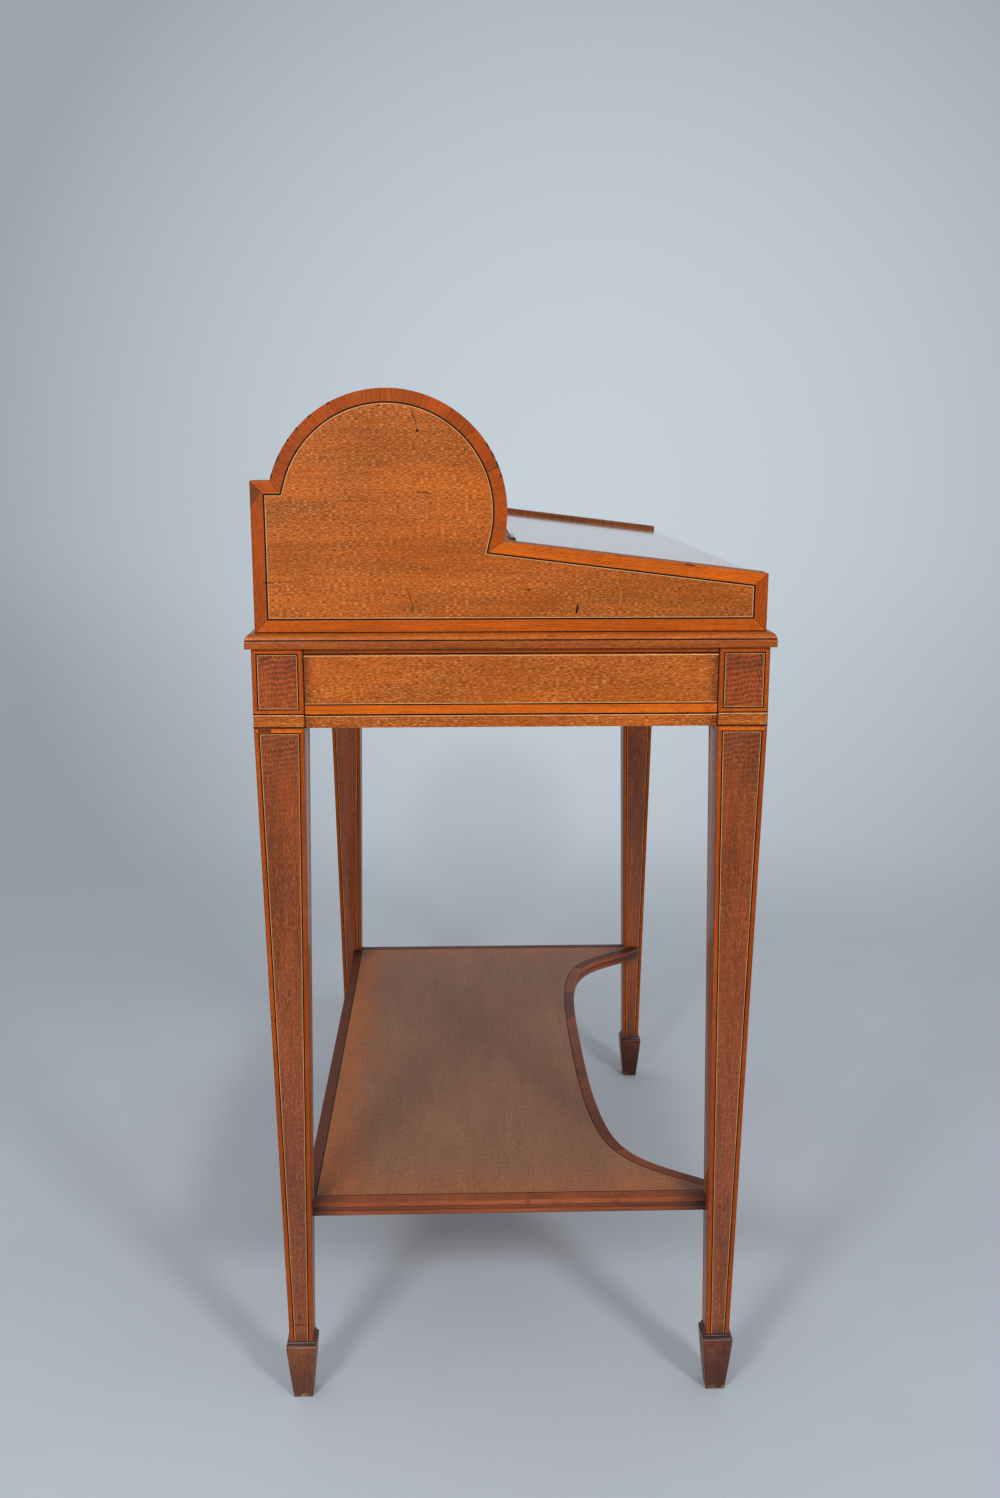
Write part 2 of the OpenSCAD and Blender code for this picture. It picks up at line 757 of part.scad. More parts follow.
// Turned knob on a shank, with its rose on z = 0
module knob(head_r, height, sink) {
  rim_r = head_r * 0.45;
  neck_r = head_r * 0.45;
  rose_r = head_r * 0.85;
  rose_t = height * 0.12;
  color(brass) {
    translate([0, 0, -sink]) cylinder(h = sink + rose_t, r = shank_r);
    cylinder(h = rose_t, r = rose_r);
    cylinder(h = height - rim_r, r = neck_r);
    translate([0, 0, height - 2 * rim_r]) rotate_extrude() {
      square([head_r - rim_r, 2 * rim_r]);
      translate([head_r - rim_r, rim_r]) intersection() {
        circle(rim_r);
        translate([0, -rim_r]) square([rim_r, 2 * rim_r]);
      }
    }
  }
}

module shank_hole(sink) {
  translate([0, 0, -sink - glue_gap]) cylinder(h = sink + through, r = shank_r + glue_gap);
}

// Cylinder fall

module at_fall_knobs() {
  knob_seat = 0.05;
  both() on_drum(fall_r + knob_seat, fall_knob_deg, fall_knob_x) children();
}

// The fall's lock and its pocket share one flat place inside the fall
module fall_lock_place(grow) {
  drum_frame() rotate([0, 0, -fall_lock_deg])
    translate([fall_r_in + fall_lock_sink - lock_t - grow, -lock_h / 2 - grow, -lock_w / 2 - grow])
      cube([lock_t + 2 * grow, lock_h + 2 * grow, lock_w + 2 * grow]);
}

module fall_key_bore() {
  on_drum(fall_r_in + fall_lock_sink - lock_t / 2, -fall_lock_deg, 0) cylinder(h = fall_t + lock_t, r = key_r);
}

module cylinder_fall() {
  plate_floor = fall_r - plate_t - glue_gap;
  spare_deg = 12;
  lower_deg = asin((axis_z - floor_z) / fall_r_in) + spare_deg;
  color(mahogany) difference() {
    drum_sector(fall_r_in, fall_r, -lower_deg, fall_back_deg, inner_x + groove_depth - groove_gap);
    block(-side_x, side_x, case_front_y, axis_y, base_z, floor_z + seat_gap);
    at_fall_knobs() shank_hole(shank_len);
    fall_lock_place(glue_gap);
    on_drum(plate_floor, -fall_lock_deg, 0) cylinder(h = plate_t + through, r = plate_r + glue_gap);
    fall_key_bore();
  }
}

module fall_knobs() { at_fall_knobs() knob(fall_knob_r, fall_knob_h, shank_len); }

module fall_keyhole_plate() {
  color(brass) difference() {
    on_drum(fall_r - plate_t, -fall_lock_deg, 0) cylinder(h = plate_t, r = plate_r);
    fall_key_bore();
  }
}

module fall_lock() {
  color(brass) difference() {
    fall_lock_place(0);
    fall_key_bore();
  }
}

// Nest of pigeonholes

module nest_back() {
  color(oak) block(-inner_x, inner_x, hole_back_y, nest_back_y, floor_z, nest_room_z);
}

module nest_top() {
  color(mahogany) block(-inner_x, inner_x, nest_front_y, nest_back_y, nest_room_z, nest_z);
}

module nest_uprights() {
  color(satinwood) both() block(nest_middle_w / 2, bay_x0, nest_front_y, hole_back_y, floor_z, nest_room_z);
}

module nest_shelves() {
  color(satinwood) both() block(bay_x0, inner_x, nest_front_y, hole_back_y,
                                shelf_top_z - nest_board_t, shelf_top_z);
}

module nest_dividers() {
  color(satinwood) both() for (i = [1 : holes_a_side - 1])
    translate([bay_x0 + i * (hole_w + nest_board_t) - nest_board_t, 0, 0])
      block(0, nest_board_t, nest_front_y, hole_back_y, shelf_top_z, nest_room_z);
}

module valance(x0, width) {
  arch_radius = (width * width / 4 + valance_rise * valance_rise) / (2 * valance_rise);
  valance_y = nest_front_y + valance_inset;
  valance_z = nest_room_z - valance_h;
  difference() {
    block(x0, x0 + width, valance_y, valance_y + valance_t, valance_z, nest_room_z);
    translate([x0 + width / 2, valance_y - through, valance_z + valance_rise - arch_radius]) rotate([-90, 0, 0])
      cylinder(h = valance_t + 2 * through, r = arch_radius, $fn = 180);
  }
}

module nest_valances() {
  color(satinwood) {
    valance(-nest_middle_w / 2, nest_middle_w);
    both() for (i = [0 : holes_a_side - 1]) valance(bay_x0 + i * (hole_w + nest_board_t), hole_w);
  }
}

// Letter drawers, one on each side of the middle compartment

letter_x0 = bay_x0 + letter_gap;
letter_x1 = inner_x - letter_gap;
letter_z0 = floor_z + seat_gap;
letter_z1 = shelf_top_z - nest_board_t - letter_gap;
letter_back_y = hole_back_y - letter_gap;
letter_mid_x = (letter_x0 + letter_x1) / 2;
letter_mid_z = (letter_z0 + letter_z1) / 2;

module at_letter_knob() {
  translate([letter_mid_x, nest_front_y, letter_mid_z]) rotate([90, 0, 0]) children();
}

module letter_drawer_front() {
  color(mahogany) difference() {
    block(letter_x0, letter_x1, nest_front_y, nest_front_y + letter_front_t, letter_z0, letter_z1);
    at_letter_knob() shank_hole(letter_shank_len);
  }
}

module letter_drawer_tray() {
  tray_y0 = nest_front_y + letter_front_t;
  color(oak) difference() {
    block(letter_x0, letter_x1, tray_y0, letter_back_y, letter_z0, letter_z1 - letter_side_drop);
    block(letter_x0 + letter_side_t, letter_x1 - letter_side_t, tray_y0 - through, letter_back_y - letter_side_t,
          letter_z0 + letter_bottom_t, letter_z1);
  }
}

module letter_drawer_knob() {
  at_letter_knob() knob(letter_knob_r, letter_knob_h, letter_shank_len);
}

module left_letter_drawer_front() { left() letter_drawer_front(); }
module left_letter_drawer_tray() { left() letter_drawer_tray(); }
module left_letter_drawer_knob() { left() letter_drawer_knob(); }
module right_letter_drawer_front() { letter_drawer_front(); }
module right_letter_drawer_tray() { letter_drawer_tray(); }
module right_letter_drawer_knob() { letter_drawer_knob(); }

// Frieze drawer: lapped dovetails join its sides to its front

module dovetails(gap) {
  height = drawer_side_z1 - drawer_side_z0;
  pitch = height / tails;
  root = pitch / 2 - tail_flare;
  y0 = drawer_back_of_front;
  along_x(drawer_inner_x - gap, drawer_side_x + gap)
    for (i = [0 : tails - 1]) {
      z = drawer_side_z0 + (i + 0.5) * pitch;
      half0 = root / 2 + gap;
      half1 = (root + tail_flare) / 2 + gap;
      polygon([[y0 + through, z - half0], [y0 + through, z + half0], [y0, z + half0], [y0 - tail_len - gap, z + half1],
               [y0 - tail_len - gap, z - half1], [y0, z - half0]]);
    }
}

module drawer_bottom_board(gap) {
  block(-drawer_inner_x - drawer_groove - gap, drawer_inner_x + drawer_groove + gap,
        drawer_back_of_front - drawer_groove - gap, drawer_end_y + gap,
        drawer_bottom_z - gap, drawer_bottom_z + drawer_bottom_t + gap);
}

module at_drawer_knobs() {
  both() translate([drawer_knob_x, rail_front_y, (opening_z0 + opening_z1) / 2]) rotate([90, 0, 0]) children();
}

module frieze_drawer_front() {
  color(mahogany) difference() {
    block(-drawer_x, drawer_x, rail_front_y, drawer_back_of_front,
          opening_z0 + drawer_gap, opening_z1 - drawer_gap);
    both() dovetails(glue_gap);
    drawer_bottom_board(glue_gap);
    at_drawer_knobs() shank_hole(shank_len);
    lock_pocket(rail_front_y, drawer_front_t, drawer_lock_z);
    face_plate_recess(rail_front_y, drawer_lock_z);
  }
}

module frieze_drawer_sides() {
  color(oak) difference() {
    both() {
      block(drawer_inner_x, drawer_side_x, drawer_back_of_front, drawer_end_y, drawer_side_z0, drawer_side_z1);
      dovetails(0);
    }
    drawer_bottom_board(glue_gap);
  }
}

module frieze_drawer_back() {
  color(oak) block(-drawer_inner_x, drawer_inner_x, drawer_end_y - drawer_side_t, drawer_end_y,
                   drawer_bottom_z + drawer_bottom_t, drawer_side_z1);
}

module frieze_drawer_bottom() { color(oak) drawer_bottom_board(0); }
module frieze_drawer_knobs() { at_drawer_knobs() knob(drawer_knob_r, drawer_knob_h, shank_len); }
module frieze_drawer_lock() { lock_body(rail_front_y, drawer_lock_z); }
module frieze_drawer_keyhole_plate() { face_plate(rail_front_y, drawer_lock_z); }

leg_front_left();
leg_front_right();
leg_back_left();
leg_back_right();
foot_front_left();
foot_front_right();
foot_back_left();
foot_back_right();
side_rail_left();
side_rail_right();
back_rail();
lower_front_rail();
upper_front_rail();
drawer_runner_left();
drawer_runner_right();
deck_board();
moulding_front();
moulding_back();
moulding_left();
moulding_right();
undershelf();
gable_left();
gable_right();
case_bottom();
back_board();
back_capping();
slope_front_rail();
hinge_rail();
well_back();
inner_floor();
nest_back();
nest_top();
nest_shelves();
nest_uprights();
nest_dividers();
nest_valances();
left_letter_drawer_front();
left_letter_drawer_tray();
left_letter_drawer_knob();
right_letter_drawer_front();
right_letter_drawer_tray();
right_letter_drawer_knob();
cylinder_fall();
fall_knobs();
fall_keyhole_plate();
fall_lock();
slope_lid();
hinge_rail_leaves();
hinge_lid_leaves();
hinge_pins();
slope_lock();
slope_keyhole_plate();
frieze_drawer_front();
frieze_drawer_sides();
frieze_drawer_back();
frieze_drawer_bottom();
frieze_drawer_knobs();
frieze_drawer_lock();
frieze_drawer_keyhole_plate();
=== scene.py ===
"""Looks of an inlaid mahogany cylinder desk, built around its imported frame."""

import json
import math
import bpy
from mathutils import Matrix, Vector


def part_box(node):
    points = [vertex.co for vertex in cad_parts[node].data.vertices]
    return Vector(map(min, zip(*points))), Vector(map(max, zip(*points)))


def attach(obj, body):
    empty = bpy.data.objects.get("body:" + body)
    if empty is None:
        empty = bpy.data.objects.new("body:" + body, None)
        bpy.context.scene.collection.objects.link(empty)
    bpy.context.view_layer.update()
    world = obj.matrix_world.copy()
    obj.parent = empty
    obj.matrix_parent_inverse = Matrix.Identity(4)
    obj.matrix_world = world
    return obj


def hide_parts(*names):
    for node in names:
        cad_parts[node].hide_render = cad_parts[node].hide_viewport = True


bl_info = {
    "name": "Cylinder desk",
    "version": (1, 0, 0),
    "blender": (4, 5, 0),
    "location": "3D View > Sidebar > Desk",
    "description": "Veneers, inlay, turned brass and a plain studio for a cylinder desk",
    "category": "Object",
}

import bpy
import numpy as np
from bpy.props import FloatProperty, FloatVectorProperty, PointerProperty
from mathutils import Matrix

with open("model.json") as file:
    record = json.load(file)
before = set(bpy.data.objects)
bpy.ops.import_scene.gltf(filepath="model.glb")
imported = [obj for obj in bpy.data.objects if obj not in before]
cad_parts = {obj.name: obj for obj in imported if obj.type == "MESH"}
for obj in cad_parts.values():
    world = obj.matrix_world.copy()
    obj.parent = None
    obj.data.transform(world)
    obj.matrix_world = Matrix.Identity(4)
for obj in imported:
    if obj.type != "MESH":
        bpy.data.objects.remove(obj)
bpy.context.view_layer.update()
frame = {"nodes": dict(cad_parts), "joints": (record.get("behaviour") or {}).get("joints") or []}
joints = {joint["name"]: joint for joint in frame["joints"]}

MM = 0.001
ALONG_X, ALONG_Y, ALONG_Z = 0, 1, 2


def linear(red, green, blue):
    """Linear colour of an sRGB colour given in steps of 0 to 255: ((c + 0.055) / 1.055) to the power 2.4."""
    steps = np.array([red, green, blue]) / 255.0
    dark = steps / 12.92
    bright = ((steps + 0.055) / 1.055) ** 2.4
    return tuple(float(c) for c in np.where(steps <= 0.04045, dark, bright))


# Sizes read from the frame

def low(node):
    """Lowest corner of a CAD node."""
    return np.array(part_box(node)[0])


def high(node):
    """Highest corner of a CAD node."""
    return np.array(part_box(node)[1])


def middle(node):
    """Centre of a CAD node's box."""
    return (low(node) + high(node)) / 2


LEGS = ("leg_front_left", "leg_front_right", "leg_back_left", "leg_back_right")
FRIEZE_Z = float(low("side_rail_left")[2])
STAND_Z = float(high("side_rail_left")[2])
DECK_Z = float(high("deck_board")[2])
ANKLE_Z = float(high("foot_front_left")[2])
LEG_HALF = float(high("leg_front_left")[0] - low("leg_front_left")[0]) / 2
LEG_FRONT = float(low("leg_front_left")[1])
CASE_X = float(high("gable_right")[0])
INNER_X = float(low("gable_right")[0])
CASE_FRONT = float(low("gable_right")[1])
CASE_BACK = float(high("gable_right")[1])
STEP_Z = DECK_Z + 129 * MM
GABLE_FRONT_Z = DECK_Z + 50 * MM
AXIS = np.array(joints["fall_roll"]["pos_m"])
ARCH_R = float(high("gable_right")[2] - AXIS[2])
FALL_R = float(high("cylinder_fall")[2] - AXIS[2])


# Settings that a user would change

def a_length(label, meaning, millimetres):
    return FloatProperty(name=label, description=meaning, default=millimetres * MM, unit="LENGTH")


def an_angle(label, meaning, degrees):
    return FloatProperty(name=label, description=meaning, default=math.radians(degrees), subtype="ANGLE")


def a_colour(label, meaning, red, green, blue):
    return FloatVectorProperty(name=label, description=meaning, default=linear(red, green, blue),
                               subtype="COLOR", min=0, max=1)


class DeskSizes(bpy.types.PropertyGroup):
    """Sizes of the inlay and of the softened edges."""

    ankle: a_length("Ankle", "Half the side of a leg at its ankle", 11.2)
    arris: a_length("Arris", "Radius of the worn edges of legs and boards", 0.7)
    veneer: a_length("Veneer", "How far inlay stands out, so that it shows", 0.12)
    line: a_length("Stringing", "Width of each dark and light line", 1.1)
    gable_band: a_length("Gable banding", "Width of the banding round the gables", 10.8)
    leg_band: a_length("Leg banding", "Width of the edging of legs and blocks", 3.8)
    frieze_band: a_length("Frieze banding", "Height of the banding low on the frieze", 8.0)
    slope: an_angle("Slope", "Fall of the writing slope", 7)


class DeskColours(bpy.types.PropertyGroup):
    """Colours of the woods and the brass."""

    mahogany: a_colour("Mahogany", "Veneer of gables and frieze", 172, 82, 10)
    figured: a_colour("Figured mahogany", "Veneer of legs and blocks", 135, 60, 17)
    satinwood: a_colour("Satinwood", "Bandings", 184, 82, 6)
    pale: a_colour("Pale satinwood", "Boards of the pigeonholes", 206, 142, 78)
    ebony: a_colour("Ebony", "Dark stringing", 17, 9, 6)
    boxwood: a_colour("Boxwood", "Light stringing", 228, 172, 112)
    shelf: a_colour("Shelf", "Faded veneer of the undershelf", 145, 98, 72)
    edging: a_colour("Edging", "Reeded edge and border of the undershelf", 124, 60, 28)
    foot: a_colour("Foot", "Spade feet", 100, 52, 30)
    oak: a_colour("Oak", "Drawer linings and hidden boards", 176, 132, 84)
    brass: a_colour("Brass", "Knobs, plates, hinges and locks", 206, 164, 92)


class DeskStudio(bpy.types.PropertyGroup):
    """Camera and light."""

    lens: FloatProperty(name="Lens", description="Focal length on a sensor 36 mm high", default=33.64)
    eye: FloatVectorProperty(name="Eye", description="Place of the camera", default=(-1.576, 0.0503, 0.9126),
                             subtype="TRANSLATION")
    pitch: an_angle("Pitch", "How far the camera looks down", 12.22)
    yaw: an_angle("Yaw", "How far the camera looks towards the front of the desk", 1.71)
    backdrop: a_colour("Backdrop", "Colour behind the desk", 198, 208, 217)
    floor: a_colour("Floor", "Colour of the floor", 200, 209, 221)
    daylight: FloatProperty(name="Daylight", description="Strength of the even light from all round",
                            default=0.5)
    lamp: FloatProperty(name="Lamps", description="Brightness that each soft lamp gives a white board",
                        default=0.29)


# Surfaces

class Shape:
    """Closed patches gathered into one mesh. Each patch is turned so that its faces point outwards."""

    def __init__(self, name):
        self.name = name
        self.points, self.uvs, self.tones, self.loops, self.totals = [], [], [], [], []
        self.count = 0

    def add(self, points, uv, quads, rings=(), tone=0.5):
        """Adds a closed patch of quads and of rings that close its ends. The sign of its volume decides its
        sense. Its tone, from 0 dark to 1 bright, is kept for its veneer."""
        if self.volume(points, quads, rings) < 0:
            quads = quads[:, ::-1]
            rings = [ring[::-1] for ring in rings]
        self.points.append(points)
        self.uvs.append(uv)
        self.tones.append(np.full(len(points), tone))
        self.loops += [face + self.count for face in (quads.reshape(-1), *rings)]
        self.totals += [np.full(len(quads), quads.shape[1]), *(np.array([len(ring)]) for ring in rings)]
        self.count += len(points)

    @staticmethod
    def volume(points, quads, rings):
        """Six times the signed volume: the sum of a . (b x c) over the triangles that fan each face."""
        centred = points - points.mean(0)
        total = 0.0
        for faces in (quads, *(ring[None] for ring in rings)):
            total += np.sum(centred[faces[:, :1]] * np.cross(centred[faces[:, 1:-1]], centred[faces[:, 2:]]))
        return total

    def tube(self, grid, uv, closed=False, tone=0.5):
        """Adds a grid of points (n sections of k points each) as a tube: section i joins section i + 1.
        The ends are closed by flat caps, or by each other when closed."""
        n, k = grid.shape[:2]
        index = np.arange(n * k).reshape(n, k)
        ahead = np.roll(index, -1, 0) if closed else index[1:]
        here = index if closed else index[:-1]
        quads = np.stack([here, ahead, np.roll(ahead, -1, 1), np.roll(here, -1, 1)], -1).reshape(-1, 4)
        rings = () if closed else (index[0][::-1], index[-1])
        self.add(grid.reshape(-1, 3), uv.reshape(-1, 2), quads, rings, tone)

    def make(self, body, material, slot, replaces=(), sharp=35.0):
        """Turns the patches into one object that rides on a body."""
        points = np.concatenate(self.points)
        loops = np.concatenate(self.loops)
        totals = np.concatenate(self.totals)
        mesh = bpy.data.meshes.new(self.name)
        mesh.vertices.add(len(points))
        mesh.vertices.foreach_set("co", points.astype(np.float32).ravel())
        mesh.loops.add(len(loops))
        mesh.loops.foreach_set("vertex_index", loops.astype(np.int32))
        mesh.polygons.add(len(totals))
        mesh.polygons.foreach_set("loop_start", (np.cumsum(totals) - totals).astype(np.int32))
        mesh.polygons.foreach_set("use_smooth", np.ones(len(totals), bool))
        mesh.update(calc_edges=True)
        layer = mesh.uv_layers.new(name="UVMap")
        layer.data.foreach_set("uv", np.concatenate(self.uvs)[loops].astype(np.float32).ravel())
        tones = mesh.attributes.new("tone", "FLOAT", "POINT")
        tones.data.foreach_set("value", np.concatenate(self.tones).astype(np.float32))
        mesh.set_sharp_from_angle(angle=math.radians(sharp))
        mesh.validate()
        mesh.materials.append(material)
        piece = bpy.data.objects.new(self.name, mesh)
        bpy.context.scene.collection.objects.link(piece)
        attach(piece, body)
        if replaces:
            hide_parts(*replaces)


def along(path):
    """Length from the start of a path to each of its points."""
    steps = np.linalg.norm(np.diff(path, axis=0), axis=1)
    return np.concatenate([[0.0], np.cumsum(steps)])


def inwards(path, closed=True):
    """Mitred direction at each point of a flat path, to its left: the sum of the normals of the two edges
    that meet there, over one plus their dot product. A point moved by it lies a unit from both edges."""
    edges = np.roll(path, -1, 0) - path
    edges /= np.maximum(np.linalg.norm(edges, axis=1), 1e-12)[:, None]
    normals = np.stack([-edges[:, 1], edges[:, 0]], 1)
    before = np.roll(normals, 1, 0)
    if not closed:
        normals[-1] = before[-1]
        before[0] = normals[0]
    return (before + normals) / (1.0 + np.sum(before * normals, 1))[:, None]


def strip(shape, path, directions, near, far, place, height, closed=False, base=0.0, cross=False, shift=0.0,
          tone=0.5):
    """Adds a flat strip: the four corners (near, base), (near, height), (far, height), (far, base),
    measured inwards and outwards from the surface, are carried along the path."""
    offsets = np.array([near, near, far, far])
    lifts = np.array([base, height, height, base])
    flat = path[:, None, :] + directions[:, None, :] * offsets[None, :, None]
    grid = place(flat, np.broadcast_to(lifts, flat.shape[:2]))
    run = along(path)[:, None] + shift + np.zeros(4)
    across = np.zeros((len(path), 1)) + offsets + shift
    uv = np.stack([across, run] if cross else [run, across], -1)
    shape.tube(grid, uv, closed, tone)


def bar(shape, start, end, width, place, height, base=0.0, shift=0.0, tone=0.5):
    """Adds a straight strip of a width, centred on the line from start to end."""
    path = np.array([start, end], float)
    strip(shape, path, inwards(path, False), -width / 2, width / 2, place, height, base=base, shift=shift,
          tone=tone)


def tapered(shape, path, girth, place, height):
    """Adds a strip whose width changes along its path."""
    strip(shape, path, inwards(path, False) * girth[:, None], -0.5, 0.5, place, height)


def inlays(name):
    """Three shapes that hold a piece's banding, dark lines and light lines."""
    return Shape(name + "_banding"), Shape(name + "_dark_line"), Shape(name + "_light_line")


def border(shapes, path, near, width, line, place, height, cuts=None, crossed=(), tones=(0.6,), closed=True):
    """Inlays a border along a path: a banding in lengths that meet at the cuts, or at each of its points,
    every length with its tone, then a dark line and a light line that is narrower."""
    bands, dark, light = shapes
    cuts = range(len(path)) if cuts is None else cuts
    directions = inwards(path, closed)
    count = len(path)
    for number, start in enumerate(cuts if closed else cuts[:-1]):
        span = (cuts[(number + 1) % len(cuts)] - start) % count or count
        pick = (start + np.arange(span + 1)) % count
        strip(bands, path[pick], directions[pick], near, near + width, place, height,
              cross=number in crossed, shift=0.37 * number, tone=tones[number % len(tones)])
    edge = near + width
    strip(dark, path, directions, edge, edge + line, place, height, closed=closed)
    strip(light, path, directions, edge + line, edge + 1.32 * line, place, height, closed=closed)


def plane(origin, across, up, out):
    """Places points of a flat drawing on a plane: origin + u * across + v * up + height * out."""
    origin, across, up, out = (np.array(v, float) for v in (origin, across, up, out))

    def place(flat, lift):
        return origin + flat[..., :1] * across + flat[..., 1:2] * up + lift[..., None] * out

    return place


def on_front(y, x=0.0, z=0.0):
    """Upright plane that faces the front: u is x and v is z, from the given place."""
    return plane((x, y, z), (1, 0, 0), (0, 0, 1), (0, -1, 0))


def on_back(y):
    """Upright plane that faces the back: u is x and v is z."""
    return plane((0, y, 0), (1, 0, 0), (0, 0, 1), (0, 1, 0))


def on_side(side, x):
    """Upright plane that faces the left, side -1, or the right, side 1: u is y and v is z."""
    return plane((side * x, 0, 0), (0, 1, 0), (0, 0, 1), (side, 0, 0))


def level(z):
    """Level plane at a height: u is x and v is y."""
    return plane((0, 0, z), (1, 0, 0), (0, 1, 0), (0, 0, 1))


def on_drum(turn, x):
    """Plane that touches the drum at an angle above the front level, at x."""
    out = np.array([0.0, -math.cos(turn), math.sin(turn)])
    up = np.array([0.0, math.sin(turn), math.cos(turn)])
    return plane(AXIS + np.array([x, 0, 0]) + out * FALL_R, (1, 0, 0), up, out)


def round_drum(flat, lift):
    """Places points of a flat drawing round the fall. The second coordinate is the length of arc above the
    front level: y = axis - cos(arc / radius) * r and z = axis + sin(arc / radius) * r."""
    turn = flat[..., 1] / FALL_R
    reach = FALL_R + lift
    return np.stack([flat[..., 0], AXIS[1] - np.cos(turn) * reach, AXIS[2] + np.sin(turn) * reach], -1)


def rectangle(u0, u1, v0, v1):
    """Corners of a rectangle, counter-clockwise."""
    return np.array([[u0, v0], [u1, v0], [u1, v1], [u0, v1]], float)


def front_face(node):
    """Outline of a node's box, seen from the front."""
    lowest, highest = low(node), high(node)
    return rectangle(lowest[0], highest[0], lowest[2], highest[2])


def densified(path, step):
    """The same closed path with points no further apart than a step."""
    rows = []
    for here, ahead in zip(path, np.roll(path, -1, 0)):
        pieces = max(1, math.ceil(np.linalg.norm(ahead - here) / step))
        share = np.arange(pieces)[:, None] / pieces
        rows.append(here * (1 - share) + ahead * share)
    return np.concatenate(rows)


def rounded_square(half, radius):
    """Section of a square post: four quarter circles of the radius, joined by straight sides."""
    turn = np.linspace(0, math.pi / 2, 4)
    parts = []
    for corner in range(4):
        swing = turn + corner * math.pi / 2
        aim = (corner + 0.5) * math.pi / 2
        centre = (half - radius) * math.sqrt(2) * np.array([math.cos(aim), math.sin(aim)])
        parts.append(centre + radius * np.stack([np.cos(swing), np.sin(swing)], 1))
    return np.concatenate(parts)


def post(shape, centre, levels, radius):
    """Adds a square post through sections at the given heights and half sides. Grain runs upwards."""
    rings = []
    uvs = []
    for z, half in levels:
        ring = rounded_square(half, min(radius, half * 0.4))
        rise = np.full(len(ring), z)
        rings.append(np.column_stack([ring + centre, rise]))
        uvs.append(np.column_stack([rise, np.arange(len(ring)) * half / 2]))
    shape.tube(np.array(rings), np.array(uvs))


def turned(shape, profile, place, steps):
    """Adds a turned piece: the profile of (radius, height) points goes round its axis."""
    turn = np.arange(steps) * 2 * math.pi / steps
    radius, rise = profile[:, :1], profile[:, 1:]
    flat = np.stack([radius * np.cos(turn), radius * np.sin(turn)], -1)
    grid = place(flat, np.broadcast_to(rise, flat.shape[:2]))
    shape.tube(grid, np.stack(np.broadcast_arrays(rise, turn[None, :] * 0.01), -1))


def smooth_profile(knots, count):
    """Points on a curve through the knots, by cubic pieces whose slope at a knot is that of its neighbours'
    chord."""
    slopes = np.gradient(knots, axis=0)
    share = np.linspace(0, len(knots) - 1, count)
    left = np.minimum(share.astype(int), len(knots) - 2)
    t = (share - left)[:, None]
    a, b, da, db = knots[left], knots[left + 1], slopes[left], slopes[left + 1]
    return (a * (2 * t**3 - 3 * t**2 + 1) + da * (t**3 - 2 * t**2 + t)
            + b * (3 * t**2 - 2 * t**3) + db * (t**3 - t**2))


# Finishes

class Wire:
    """A socket's value. Arithmetic on it adds Math nodes to its finish."""

    def __init__(self, finish, socket):
        self.finish = finish
        self.socket = socket

    def __add__(self, other):
        return self.finish.math("ADD", self, other)

    def __radd__(self, other):
        return self.finish.math("ADD", other, self)

    def __sub__(self, other):
        return self.finish.math("SUBTRACT", self, other)

    def __rsub__(self, other):
        return self.finish.math("SUBTRACT", other, self)

    def __mul__(self, other):
        return self.finish.math("MULTIPLY", self, other)

    def __rmul__(self, other):
        return self.finish.math("MULTIPLY", other, self)

    def __abs__(self):
        return self.finish.math("ABSOLUTE", self, 0.0)

    def sine(self):
        return self.finish.math("SINE", self, 0.0)

    def clear_of(self, start, end):
        """0 below start, 1 above end and a smooth ramp between them."""
        return self.finish.node("ShaderNodeMapRange", {"interpolation_type": "SMOOTHSTEP"},
                                {"Value": self, "From Min": start, "From Max": end})


